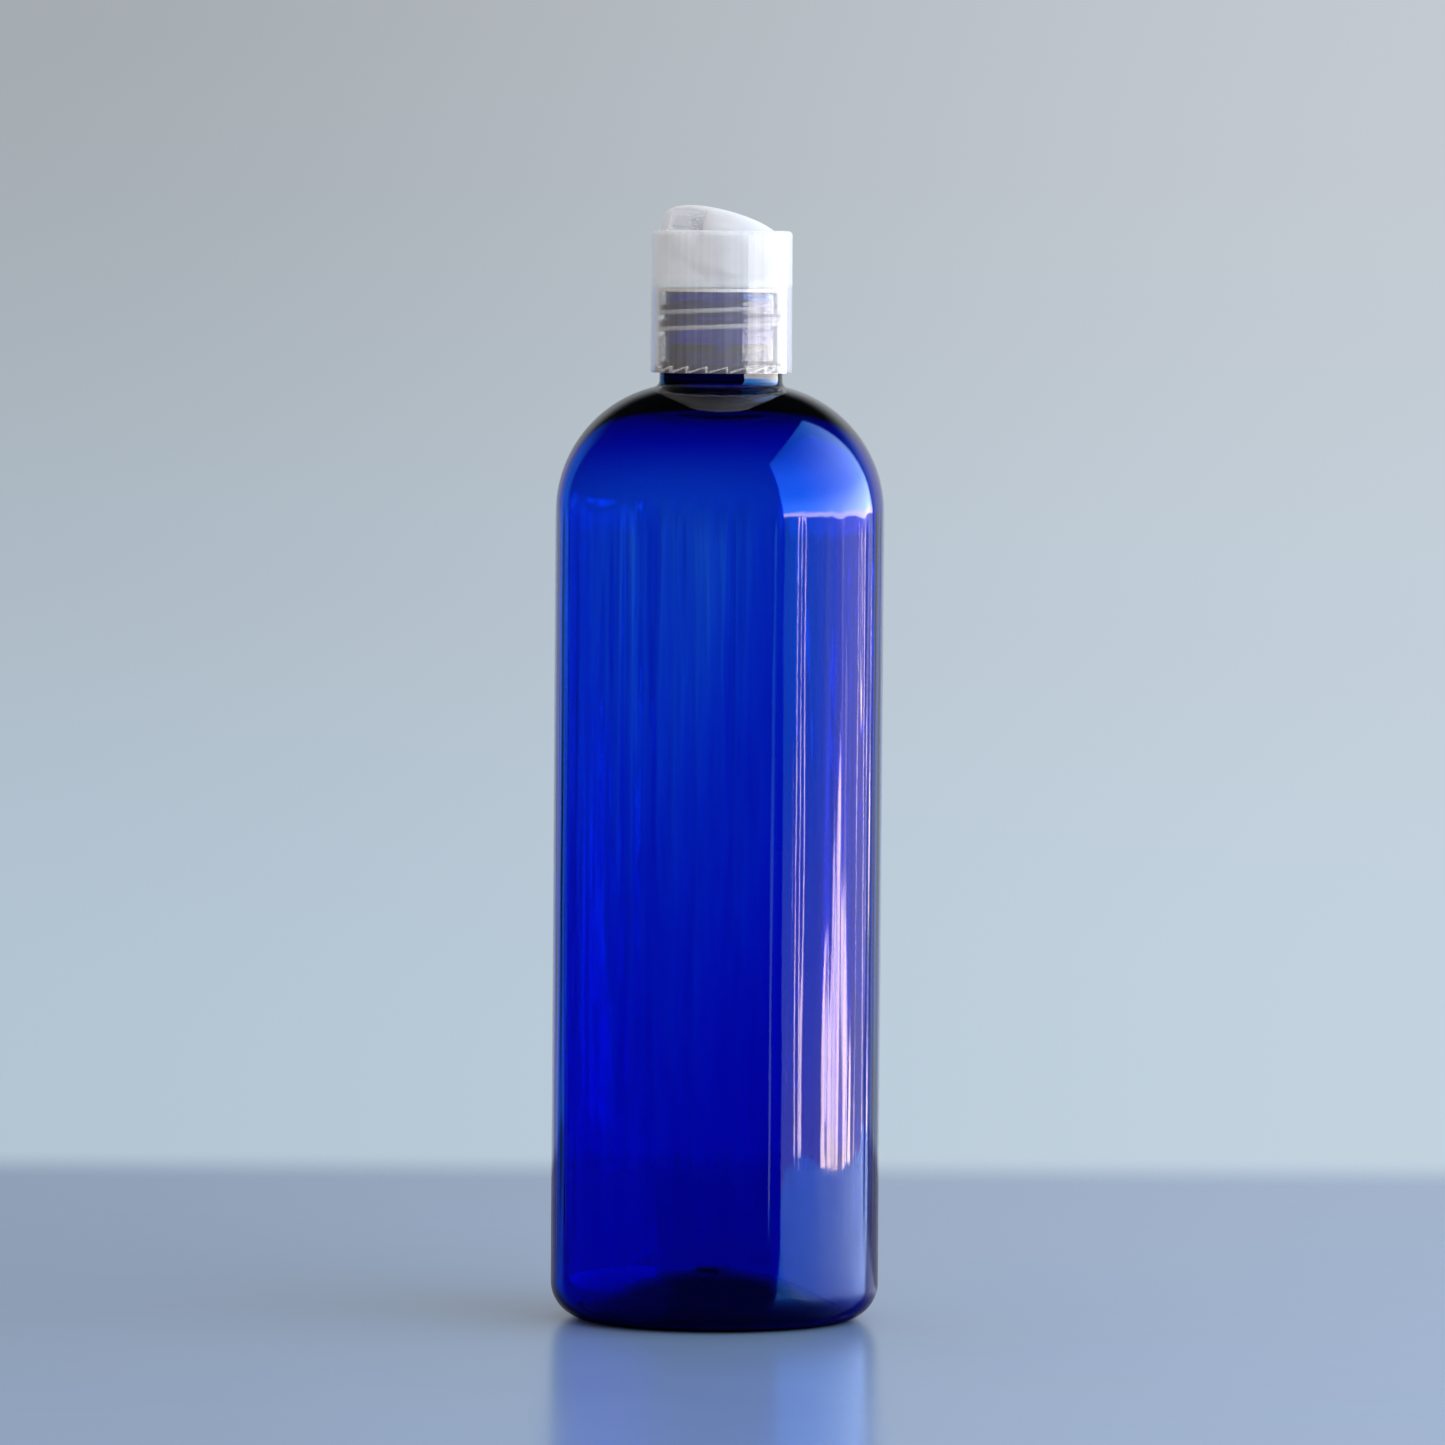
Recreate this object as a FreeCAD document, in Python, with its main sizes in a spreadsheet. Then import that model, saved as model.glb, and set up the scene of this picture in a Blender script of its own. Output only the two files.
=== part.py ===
import FreeCAD, Part
import math
import os
import re

import Sketcher

# Round-shouldered squeeze bottle with a press-to-tilt disc cap, in millimetres.
# +Z is up and the origin is the middle of the base on the floor.
# The spout of the disc points along -Y and the disc tilts about X.
# The cap is screwed home and the disc stands open, which is the rest pose.

SIZES = (
    # Bottle, blown wall
    ("bottle_height", 198.6, "floor to the top of the lip"),
    ("body_diameter", 63.4, "outside of the straight side"),
    ("bottle_wall", 0.7, "thickness of the blown wall"),
    ("base_round", 7.0, "outside round between side and base"),
    ("standing_ring", 2.0, "width of the flat ring that the bottle stands on"),
    ("pushup_height", 8.5, "height of the hollow under the base"),
    ("gate_diameter", 6.8, "boss left by the gate inside the base"),
    ("gate_height", 0.6, "rise of that boss"),
    ("shoulder_round", 24.8, "outside radius of the shoulder"),
    ("neck_fillet", 1.2, "hollow round between shoulder and neck"),
    # Bottle, neck finish
    ("skirt_gap", 1.6, "foot of the neck to the skirt's edge"),
    ("neck_collar", 4.0, "plain collar under the thread"),
    ("collar_slope", 0.6, "chamfer on top of the collar"),
    ("neck_wall", 1.45, "wall of the neck between the ridges"),
    ("lip_round", 0.4, "outer edge of the lip"),
    ("thread_diameter", 23.8, "over the crests"),
    ("thread_depth", 1.05, "height of a ridge"),
    ("thread_pitch", 3.175, "rise of one turn"),
    ("thread_turns", 1.5, "turns of the ridge"),
    ("thread_drop", 2.0, "lip down to the upper end of the ridge"),
    ("thread_crest", 0.8, "flat on top of a ridge"),
    ("thread_room", 0.25, "radial room between bottle and cap"),
    ("flank_room", 0.19, "room beside each flank"),
    # Sealing ring
    ("liner_thickness", 0.7, "pressed sealing ring between lip and deck"),
    ("liner_room", 0.2, "room round the sealing ring"),
    # Cap
    ("skirt_wall", 1.45, "wall of the skirt at its top"),
    ("rim_wall", 1.35, "wall round the recess"),
    ("cap_draft", 0.1, "growth of the radius down to the skirt's edge"),
    ("cap_height", 27.4, "skirt's edge to the rim"),
    ("deck_thickness", 1.2, "wall between skirt and recess"),
    ("rim_round", 0.9, "outer round of the rim"),
    ("rim_chamfer", 0.3, "inner edge of the rim and of the skirt"),
    ("ratchet_teeth", 20, "saw teeth round the skirt's edge"),
    ("ratchet_depth", 1.0, "rise of a tooth's ramp"),
    ("ratchet_length", 3.2, "length of a tooth's ramp"),
    ("ratchet_skin", 0.6, "outer skin left round the teeth"),
    ("seat_diameter", 6.4, "collar on the deck round the outlet"),
    ("seat_height", 1.1, "lowest place of the rocker above the deck"),
    ("seat_room", 0.1, "room between rocker and seat"),
    ("stop_angle", 29.0, "each closing stop, from the spout's direction"),
    ("stop_width", 1.0, "thickness of a closing stop"),
    ("stop_reach", 1.3, "how far a stop stands off the wall"),
    ("stop_room", 0.1, "room over a stop when the disc is shut"),
    # Disc
    ("disc_room", 0.2, "room round the disc"),
    ("deck_room", 0.45, "room between the deck and the open disc's low edge"),
    ("disc_edge", 2.3, "top edge above the pivot"),
    ("disc_skirt", 3.4, "lower edge below the pivot"),
    ("disc_dome", 0.9, "crown of the top"),
    ("disc_plate", 1.1, "thickness of the top"),
    ("disc_wall", 1.0, "thickness of the side"),
    ("disc_edge_round", 0.7, "round along the top edge"),
    ("pivot_drop", 1.8, "rim down to the pivot"),
    ("open_tilt", 23.0, "tilt of the open disc, in degrees"),
    ("trunnion_diameter", 1.8, "pivot stub"),
    ("trunnion_depth", 0.7, "depth of the stub's socket"),
    ("trunnion_room", 0.06, "room round and behind a stub"),
    ("spout_inset", 2.85, "disc's side in to the face of the spout"),
    ("spout_wall", 1.2, "thickness of that face"),
    ("spout_drop", 1.1, "lower edge of that face, below the pivot"),
    ("notch_width", 8.3, "notch in front of the spout"),
    ("notch_wall", 1.0, "cheeks of the notch"),
    ("orifice_width", 2.8, "slot that the liquid leaves by"),
    ("orifice_height", 1.7, "height of that slot"),
    ("channel_diameter", 1.6, "bore of the channel and of the outlet"),
    ("channel_wall", 0.9, "wall round the channel"),
    ("rocker_width", 7.6, "rocker along the pivot"),
    ("rocker_front", 3.0, "rocker ahead of the pivot"),
    ("rocker_back", 4.4, "rocker behind the pivot"),
)
# Sizes that follow from the ones above, each from those before it.
FOLLOWING = (
    ("thread_root", "thread_diameter - 2 * thread_depth", "neck between the ridges"),
    ("neck_bore", "thread_root - 2 * neck_wall", "mouth of the bottle"),
    ("cap_diameter", "thread_diameter + 2 * (thread_room + skirt_wall)", "outside at the rim"),
    ("disc_diameter", "cap_diameter - 2 * (rim_wall + disc_room)", "spherical side of the disc"),
    ("skirt_edge", "sqrt(disc_diameter^2 / 4 - disc_skirt^2)", "radius of the disc's lower edge"),
    ("disc_swing", "disc_skirt * cos(open_tilt) + skirt_edge * sin(open_tilt)",
     "low edge of the open disc, below the pivot"),
    ("top_height", "deck_thickness + deck_room + disc_swing + pivot_drop", "deck's underside to the rim"),
    ("skirt_depth", "cap_height - top_height", "skirt's edge to the underside of the deck"),
    ("finish_height", "skirt_depth + skirt_gap - liner_thickness", "foot of the neck to the lip"),
    ("rocker_radius", "top_height - pivot_drop - deck_thickness - seat_height", "underside of the rocker"),
    ("spout_reach", "disc_diameter / 2 - spout_inset", "pivot to the face of the spout"),
)
ALIASES = {size[0] for size in SIZES + FOLLOWING}

# How far a fused piece is sunk into the wall that carries it.
ROOT = 0.3
# How far a cut runs past the face that it breaks through.
PAST = 1.0
# A half circle's radius over half its chord, so that its sketch can still be solved.
HALF_CIRCLE = 1.0001
# How close an edge comes to the radius and height that it is looked for by.
NEAR = 1e-4

BODY_R = "body_diameter / 2"
BORE_R = "neck_bore / 2"
CREST_R = "thread_diameter / 2"
ROOT_R = "thread_root / 2"
SKIRT_R = "(thread_diameter / 2 + thread_room)"
RIDGE_FOOT = "(thread_pitch - thread_crest - 2 * flank_room)"
THREAD_RISE = "thread_turns * thread_pitch"
CAP_R = "cap_diameter / 2"
RECESS_R = "(disc_diameter / 2 + disc_room)"
RIM_Z = "top_height"
PIVOT_Z = "(top_height - pivot_drop)"
DISC_R = "(disc_diameter / 2)"

doc = FreeCAD.newDocument("disc_cap_bottle")
sheet = doc.addObject("Spreadsheet::Sheet", "Sizes")


def fill_sheet():
    cells = [(alias, str(size), meaning) for alias, size, meaning in SIZES]
    cells += [(alias, f"={formula}", meaning) for alias, formula, meaning in FOLLOWING]
    for row, (alias, content, meaning) in enumerate(cells, start=1):
        sheet.set(f"A{row}", alias)
        sheet.set(f"B{row}", content)
        sheet.set(f"C{row}", meaning)
        sheet.setAlias(f"B{row}", alias)
    doc.recompute()


def tie(formula):
    """The formula with each size's name turned into a reference to its cell."""
    def cell(match):
        word = match.group()
        return f"Sizes.{word}" if word in ALIASES else word
    return re.sub(r"[a-z_]+", cell, formula)


def value(formula):
    return float(sheet.evalExpression(tie(formula)))


def new_body(label):
    body = doc.addObject("PartDesign::Body", label)
    body.Label = label
    return body


def origin_feature(body, role):
    return next(item for item in body.Origin.OriginFeatures if item.Role == role)


def new_sketch(body, name, plane, offset=None):
    sketch = body.newObject("Sketcher::SketchObject", name)
    sketch.AttachmentSupport = [(origin_feature(body, plane), "")]
    sketch.MapMode = "FlatFace"
    if offset:
        path, formula = offset
        sketch.setExpression(f"AttachmentOffset.{path}", tie(formula))
    return sketch


def bind(sketch, constraint, name, formula):
    index = sketch.addConstraint(constraint)
    sketch.renameConstraint(index, name)
    sketch.setExpression(f"Constraints.{name}", tie(formula))


def arc_through(start, end, radius, side):
    """The short arc between two points; side is +1 where it bulges to the right of the way."""
    chord = end - start
    middle = (start + end) * 0.5
    right = FreeCAD.Vector(chord.y, -chord.x, 0) * (side / chord.Length)
    depth = math.sqrt(max(radius ** 2 - (chord.Length / 2) ** 2, 0))
    return Part.Arc(start, middle + right * (radius - depth), end)


def outline(sketch, corners):
    """A closed outline. Each corner gives its place and, for an arc to the next one, radius and side."""
    points = [FreeCAD.Vector(value(corner[0]), value(corner[1]), 0) for corner in corners]
    ends = []
    for number, corner in enumerate(corners):
        start = points[number]
        end = points[(number + 1) % len(points)]
        if len(corner) > 2:
            edge = sketch.addGeometry(arc_through(start, end, value(corner[2]), corner[3]), False)
        else:
            edge = sketch.addGeometry(Part.LineSegment(start, end), False)
        first = sketch.getPoint(edge, 1)
        second = sketch.getPoint(edge, 2)
        turned = first.distanceToPoint(start) > second.distanceToPoint(start)
        ends.append((edge, 2, 1) if turned else (edge, 1, 2))
    for number, corner in enumerate(corners):
        edge, start, end = ends[number]
        follower, follower_start, _ = ends[(number + 1) % len(ends)]
        sketch.addConstraint(Sketcher.Constraint("Coincident", edge, end, follower, follower_start))
        across = (-2, "DistanceX", "across", corner[0])
        up = (-1, "DistanceY", "up", corner[1])
        for axis, kind, name, formula in (across, up):
            if formula == "0":
                sketch.addConstraint(Sketcher.Constraint("PointOnObject", edge, start, axis))
            else:
                place = Sketcher.Constraint(kind, -1, 1, edge, start, value(formula))
                bind(sketch, place, f"{name}_{number}", formula)
        if len(corner) > 2:
            bind(sketch, Sketcher.Constraint("Radius", edge, value(corner[2])), f"round_{number}", corner[2])
    return sketch


def circle(sketch, up, radius):
    """A circle on the sketch's upright axis."""
    centre = FreeCAD.Vector(0, value(up), 0)
    ring = sketch.addGeometry(Part.Circle(centre, FreeCAD.Vector(0, 0, 1), value(radius)), False)
    sketch.addConstraint(Sketcher.Constraint("PointOnObject", ring, 3, -2))
    if up == "0":
        sketch.addConstraint(Sketcher.Constraint("PointOnObject", ring, 3, -1))
    else:
        bind(sketch, Sketcher.Constraint("DistanceY", -1, 1, ring, 3, value(up)), "up", up)
    bind(sketch, Sketcher.Constraint("Radius", ring, value(radius)), "round", radius)
    return sketch


def revolve(body, sketch, name):
    feature = body.newObject("PartDesign::Revolution", name)
    feature.Profile = sketch
    feature.ReferenceAxis = (sketch, ["V_Axis"])
    feature.Angle = 360
    doc.recompute()
    return feature


def extrude(body, kind, sketch, name, length, both=False, turned=False):
    """A Pad or a Pocket, which has to add or take away material."""
    before = body.Shape.Volume
    feature = body.newObject(f"PartDesign::{kind}", name)
    feature.Profile = sketch
    feature.setExpression("Length", tie(length))
    feature.Midplane = both
    feature.Reversed = turned
    doc.recompute()
    gained = body.Shape.Volume - before
    if gained * (1 if kind == "Pad" else -1) <= 0:
        raise RuntimeError(f"{name} changes the volume by {gained:.3f}")
    return feature


def ridge(body, sketch, name):
    """A right-hand thread ridge round the body's upright axis."""
    feature = body.newObject("PartDesign::AdditiveHelix", name)
    feature.Profile = sketch
    feature.ReferenceAxis = (origin_feature(body, "Z_Axis"), [""])
    feature.Mode = "pitch-turns-angle"
    feature.setExpression("Pitch", tie("thread_pitch"))
    feature.setExpression("Turns", tie("thread_turns"))
    doc.recompute()
    return feature


def ridge_outline(sketch, foot_r, crest_r, middle):
    """The ridge's section on the -X side, its foot sunk into the wall."""
    return outline(sketch, [
        (f"-({foot_r})", f"{middle} - {RIDGE_FOOT} / 2"),
        (f"-({crest_r})", f"{middle} - thread_crest / 2"),
        (f"-({crest_r})", f"{middle} + thread_crest / 2"),
        (f"-({foot_r})", f"{middle} + {RIDGE_FOOT} / 2"),
    ])


def make_bottle():
    body = new_body("bottle")
    shoulder_x = f"({BODY_R} - shoulder_round)"
    fillet_x = f"({CREST_R} + neck_fillet)"
    neck_z = "(bottle_height - finish_height)"
    span = "(shoulder_round + neck_fillet)"
    shoulder_z = f"({neck_z} - sqrt({span}^2 - ({fillet_x} - {shoulder_x})^2))"
    share = f"(shoulder_round / {span})"
    ring_in = f"({BODY_R} - base_round - standing_ring)"
    dome_r = f"(({ring_in}^2 + pushup_height^2) / (2 * pushup_height))"
    dome_in = f"({dome_r} + bottle_wall)"
    dome_z = f"(pushup_height - {dome_r})"
    gate_r = "gate_diameter / 2"
    shoulder_in = "(shoulder_round - bottle_wall)"
    collar_z = f"({neck_z} + neck_collar)"
    gate_z = "pushup_height + bottle_wall + gate_height"
    wall = outline(new_sketch(body, "wall_section", "XZ_Plane"), [
        ("0", "pushup_height", dome_r, -1),
        (ring_in, "0"),
        (f"{BODY_R} - base_round", "0", "base_round", 1),
        (BODY_R, "base_round"),
        (BODY_R, shoulder_z, "shoulder_round", 1),
        (f"{shoulder_x} + ({fillet_x} - {shoulder_x}) * {share}",
         f"{shoulder_z} + ({neck_z} - {shoulder_z}) * {share}", "neck_fillet", -1),
        (CREST_R, neck_z),
        (CREST_R, f"{collar_z} - collar_slope"),
        (ROOT_R, collar_z),
        (ROOT_R, "bottle_height - lip_round", "lip_round", 1),
        (f"{ROOT_R} - lip_round", "bottle_height"),
        (BORE_R, "bottle_height"),
        (BORE_R, f"{shoulder_z} + sqrt({shoulder_in}^2 - ({BORE_R} - {shoulder_x})^2)", shoulder_in, -1),
        (f"{BODY_R} - bottle_wall", shoulder_z),
        (f"{BODY_R} - bottle_wall", "base_round", "base_round - bottle_wall", -1),
        (f"{BODY_R} - base_round", "bottle_wall"),
        (f"sqrt({dome_in}^2 - (bottle_wall - {dome_z})^2)", "bottle_wall", dome_in, 1),
        (gate_r, f"{dome_z} + sqrt({dome_in}^2 - ({gate_r})^2)"),
        (gate_r, gate_z),
        ("0", gate_z),
    ])
    revolve(body, wall, "blown_wall")
    lower_end = f"(bottle_height - thread_drop - {THREAD_RISE})"
    sketch = new_sketch(body, "thread_section", "XZ_Plane")
    thread = ridge_outline(sketch, f"{ROOT_R} - {ROOT}", CREST_R, lower_end)
    ridge(body, thread, "neck_thread")
    return body


def make_liner():
    body = new_body("sealing_ring")
    inner = f"{BORE_R} + liner_room"
    outer = f"{SKIRT_R} - liner_room"
    ring = outline(new_sketch(body, "ring_section", "XZ_Plane"), [
        (inner, "0"),
        (outer, "0"),
        (outer, "liner_thickness"),
        (inner, "liner_thickness"),
    ])
    revolve(body, ring, "ring")
    body.setExpression("Placement.Base.z", tie("bottle_height"))
    return body


def make_cap():
    """The cap's own zero is the underside of its deck."""
    body = new_body("cap_body")
    outlet_r = "channel_diameter / 2"
    seat_r = "seat_diameter / 2"
    seat_top = f"({PIVOT_Z} - sqrt(rocker_radius^2 - ({seat_r})^2) + {ROOT})"
    section = outline(new_sketch(body, "cap_section", "XZ_Plane"), [
        (f"{SKIRT_R} + rim_chamfer", "-skirt_depth"),
        (f"{CAP_R} + cap_draft", "-skirt_depth"),
        (CAP_R, f"{RIM_Z} - rim_round", "rim_round", 1),
        (f"{CAP_R} - rim_round", RIM_Z),
        (f"{RECESS_R} + rim_chamfer", RIM_Z),
        (RECESS_R, f"{RIM_Z} - rim_chamfer"),
        (RECESS_R, "deck_thickness"),
        (seat_r, "deck_thickness"),
        (seat_r, seat_top),
        (outlet_r, seat_top),
        (outlet_r, "0"),
        (SKIRT_R, "0"),
        (SKIRT_R, "rim_chamfer - skirt_depth"),
    ])
    revolve(body, section, "shell")

    bearing = circle(new_sketch(body, "seat_round", "YZ_Plane"), PIVOT_Z, "rocker_radius + seat_room")
    extrude(body, "Pocket", bearing, "seat", f"2 * ({seat_r} + {PAST})", both=True)

    sketch = new_sketch(body, "socket_round", "YZ_Plane")
    socket = circle(sketch, PIVOT_Z, "trunnion_diameter / 2 + trunnion_room")
    extrude(body, "Pocket", socket, "sockets", f"2 * ({RECESS_R} + trunnion_depth)", both=True)

    make_stops(body)
    make_ratchet(body)

    lower_end = f"(-liner_thickness - thread_drop - thread_pitch / 2 - {THREAD_RISE})"
    sketch = new_sketch(body, "thread_section", "XZ_Plane")
    thread = ridge_outline(sketch, f"{SKIRT_R} + {ROOT}", f"{ROOT_R} + thread_room", lower_end)
    ridge(body, thread, "skirt_thread")
    body.setExpression("Placement.Base.z", tie("bottle_height + liner_thickness"))
    return body


def make_stops(body):
    """Two upright ribs on the recess wall, either side of the spout, that the shut disc comes down on."""
    stop_top = f"({PIVOT_Z} - disc_skirt - stop_room)"
    for name, turn in (("right_stop", "stop_angle"), ("left_stop", "-stop_angle")):
        sketch = new_sketch(body, f"{name}_outline", "XY_Plane", ("Rotation.Angle", turn))
        outline(sketch, [
            ("-stop_width / 2", f"-({RECESS_R} + {ROOT})"),
            ("stop_width / 2", f"-({RECESS_R} + {ROOT})"),
            ("stop_width / 2", f"stop_reach - {RECESS_R}"),
            ("-stop_width / 2", f"stop_reach - {RECESS_R}"),
        ])
        extrude(body, "Pad", sketch, name, stop_top)


def make_ratchet(body):
    """Saw teeth in the skirt's edge, each a ramp and an upright face, inside an outer skin."""
    tooth = outline(new_sketch(body, "tooth_outline", "XZ_Plane"), [
        ("-ratchet_length / 2", "-skirt_depth"),
        ("ratchet_length / 2", "-skirt_depth"),
        ("ratchet_length / 2", "ratchet_depth - skirt_depth"),
    ])
    first = extrude(body, "Pocket", tooth, "tooth", f"{CAP_R} - ratchet_skin", turned=True)
    teeth = body.newObject("PartDesign::PolarPattern", "ratchet")
    teeth.Originals = [first]
    teeth.Axis = (origin_feature(body, "Z_Axis"), [""])
    teeth.Angle = 360
    teeth.setExpression("Occurrences", tie("ratchet_teeth"))
    body.Tip = teeth
    doc.recompute()


def make_disc():
    """The disc's own zero is its pivot, and it is drawn shut before it is tilted open."""
    body = new_body("disc")
    edge_r = f"sqrt({DISC_R}^2 - disc_edge^2)"
    inside_r = f"({DISC_R} - disc_wall)"
    under_z = "(disc_edge - disc_plate)"
    under_r = f"sqrt({inside_r}^2 - {under_z}^2)"
    dome_r = f"(({edge_r})^2 + disc_dome^2) / (2 * disc_dome)"
    ceiling_r = f"(({under_r})^2 + disc_dome^2) / (2 * disc_dome)"
    shell = outline(new_sketch(body, "disc_section", "XZ_Plane"), [
        (f"sqrt({inside_r}^2 - disc_skirt^2)", "-disc_skirt"),
        (f"sqrt({DISC_R}^2 - disc_skirt^2)", "-disc_skirt", DISC_R, 1),
        (edge_r, "disc_edge", dome_r, 1),
        ("0", "disc_edge + disc_dome"),
        ("0", f"{under_z} + disc_dome", ceiling_r, -1),
        (under_r, under_z, inside_r, -1),
    ])
    top = revolve(body, shell, "shell")
    round_top_edge(body, top, value(edge_r))
    make_rocker(body, under_z)
    make_spout(body, under_z)
    make_trunnions(body)
    body.Placement = FreeCAD.Placement(
        FreeCAD.Vector(), FreeCAD.Rotation(FreeCAD.Vector(-1, 0, 0), value("open_tilt")))
    body.setExpression("Placement.Base.z", tie(f"bottle_height + liner_thickness + {PIVOT_Z}"))
    body.setExpression("Placement.Rotation.Angle", tie("open_tilt"))
    return body


def round_top_edge(body, base, radius):
    """Rounds the disc's top edge, the widest circle at that height."""
    height = value("disc_edge")
    names = [
        f"Edge{number}" for number, edge in enumerate(base.Shape.Edges, start=1)
        if not edge.Degenerated and isinstance(edge.Curve, Part.Circle)
        and abs(edge.Curve.Radius - radius) < NEAR
        and abs(edge.Curve.Center.z - height) < NEAR
    ]
    feature = body.newObject("PartDesign::Fillet", "edge_round")
    feature.Base = (base, names)
    feature.setExpression("Radius", tie("disc_edge_round"))
    doc.recompute()


def make_rocker(body, under_z):
    """The block under the disc whose round underside turns on the deck's seat and shuts the outlet."""
    rocker = outline(new_sketch(body, "rocker_outline", "YZ_Plane"), [
        ("-rocker_front", f"{under_z} + disc_dome + {ROOT}"),
        ("-rocker_front", "-sqrt(rocker_radius^2 - rocker_front^2)", "rocker_radius", 1),
        ("rocker_back", "-sqrt(rocker_radius^2 - rocker_back^2)"),
        ("rocker_back", f"{under_z} + disc_dome + {ROOT}"),
    ])
    extrude(body, "Pad", rocker, "rocker", "rocker_width", both=True)


def make_spout(body, under_z):
    """Spout block, channel tube, the notch in front of them, and the bores through them."""
    cheek = "(notch_width / 2 + notch_wall)"
    block_front = f"sqrt(({DISC_R} - disc_wall / 2)^2 - disc_skirt^2 - {cheek}^2)"
    floor = ("Base.z", "-spout_drop")
    block = outline(new_sketch(body, "block_outline", "XY_Plane", floor), [
        (f"-{cheek}", f"-{block_front}"),
        (cheek, f"-{block_front}"),
        (cheek, "spout_wall - spout_reach"),
        (f"-{cheek}", "spout_wall - spout_reach"),
    ])
    extrude(body, "Pad", block, "spout_block", f"spout_drop + {under_z} + disc_dome / 2 + {ROOT}")

    tube = circle(new_sketch(body, "tube_round", "XZ_Plane"), "0", "channel_diameter / 2 + channel_wall")
    extrude(body, "Pad", tube, "channel_tube", f"spout_reach - spout_wall + {ROOT}")

    ceiling = ("Base.z", under_z)
    notch = outline(new_sketch(body, "notch_outline", "XY_Plane", ceiling), [
        ("-notch_width / 2", f"-({DISC_R} + {PAST})"),
        ("notch_width / 2", f"-({DISC_R} + {PAST})"),
        ("notch_width / 2", "-spout_reach"),
        ("-notch_width / 2", "-spout_reach"),
    ])
    extrude(body, "Pocket", notch, "notch", f"{under_z} + disc_skirt + {PAST}")

    channel = circle(new_sketch(body, "channel_round", "XZ_Plane"), "0", "channel_diameter / 2")
    extrude(body, "Pocket", channel, "channel", f"spout_reach + {PAST}", turned=True)

    slot_x = "(orifice_width - orifice_height) / 2"
    slot_z = "orifice_height / 2"
    depth = ("Base.z", "spout_reach - spout_wall")
    slot = outline(new_sketch(body, "orifice_outline", "XZ_Plane", depth), [
        (f"-{slot_x}", f"-{slot_z}"),
        (slot_x, f"-{slot_z}", f"{slot_z} * {HALF_CIRCLE}", 1),
        (slot_x, slot_z),
        (f"-{slot_x}", slot_z, f"{slot_z} * {HALF_CIRCLE}", 1),
    ])
    extrude(body, "Pocket", slot, "orifice", f"spout_wall + {PAST}", turned=True)

    inlet = circle(new_sketch(body, "inlet_round", "XY_Plane", ("Rotation.Angle", "open_tilt")),
                   "0", "channel_diameter / 2")
    inlet.AttachmentOffset = FreeCAD.Placement(
        FreeCAD.Vector(), FreeCAD.Rotation(FreeCAD.Vector(1, 0, 0), value("open_tilt")))
    extrude(body, "Pocket", inlet, "inlet", f"rocker_radius + {PAST}")


def make_trunnions(body):
    stub_start = f"({DISC_R} - disc_wall)"
    sketch = new_sketch(body, "trunnion_round", "YZ_Plane", ("Base.z", stub_start))
    stub = circle(sketch, "0", "trunnion_diameter / 2")
    length = f"{RECESS_R} + trunnion_depth - trunnion_room - {stub_start}"
    first = extrude(body, "Pad", stub, "trunnion", length)
    pair = body.newObject("PartDesign::Mirrored", "trunnions")
    pair.Originals = [first]
    pair.MirrorPlane = (origin_feature(body, "YZ_Plane"), [""])
    body.Tip = pair
    doc.recompute()


def write_parts(bodies):
    doc.recompute()
    for item in doc.Objects:
        if "Invalid" in item.State or "Error" in item.State:
            raise RuntimeError(f"{item.Name} failed: {item.State}")
    for body in bodies:
        if body.Shape.isNull() or not body.Shape.isValid() or len(body.Shape.Solids) != 1:
            raise RuntimeError(f"{body.Label} is not one valid solid")
    os.makedirs("parts", exist_ok=True)
    for body in bodies:
        body.Shape.exportStep(f"parts/{body.Label}.step")
        print(f"{body.Label}: {body.Shape.Volume / 1000:.3f} cm3")


fill_sheet()
write_parts([make_bottle(), make_liner(), make_cap(), make_disc()])
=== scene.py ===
import math

import bpy
from mathutils import Matrix, Vector


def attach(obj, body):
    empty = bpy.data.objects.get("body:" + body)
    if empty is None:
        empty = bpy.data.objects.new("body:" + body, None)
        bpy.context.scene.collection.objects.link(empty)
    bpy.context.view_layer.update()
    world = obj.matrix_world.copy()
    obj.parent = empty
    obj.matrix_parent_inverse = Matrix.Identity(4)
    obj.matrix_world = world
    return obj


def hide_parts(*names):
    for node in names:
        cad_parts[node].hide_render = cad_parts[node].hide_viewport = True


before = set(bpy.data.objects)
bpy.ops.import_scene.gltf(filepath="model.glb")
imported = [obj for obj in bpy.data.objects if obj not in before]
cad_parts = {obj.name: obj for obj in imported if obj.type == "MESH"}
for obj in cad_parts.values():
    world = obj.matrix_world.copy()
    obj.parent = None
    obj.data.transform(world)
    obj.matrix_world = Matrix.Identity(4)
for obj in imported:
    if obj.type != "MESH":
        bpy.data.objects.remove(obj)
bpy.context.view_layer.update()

MM = 0.001

# Sizes in millimetres, the same as the solids
BODY_RADIUS = 31.7
BASE_ROUND = 7.0
RING_INNER = 22.7
RING_OUTER = 24.7
PUSHUP_HEIGHT = 8.5
SHOULDER_ROUND = 24.8
SHOULDER_FOOT = 156.147
NECK_FOOT = 181.397
NECK_RADIUS = 11.9
COLLAR_TOP = 184.797
COLLAR_SLOPE = 0.6
NECK_FILLET = 1.2
THREAD_ROOT = 10.85
THREAD_CREST = 11.9
NECK_BORE = 9.4
LIP_HEIGHT = 198.6
LIP_ROUND = 0.4
THREAD_PITCH = 3.175
THREAD_TURNS = 1.5
THREAD_LOW_END = 191.84
THREAD_CREST_WIDTH = 0.8
GATE_RADIUS = 3.4
GATE_HEIGHT = 0.6
SKIRT_EDGE = 182.997
SKIRT_BORE = 12.15
SKIRT_SKIN = 13.0
SKIRT_THREAD_LOW_END = 190.25
TEETH = 20
TOOTH_LENGTH = 3.2
TOOTH_RISE = 1.0

# The collar's edge is eased a little
COLLAR_EDGE = 0.15
COLLAR_EDGE_RISE = 0.05

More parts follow.
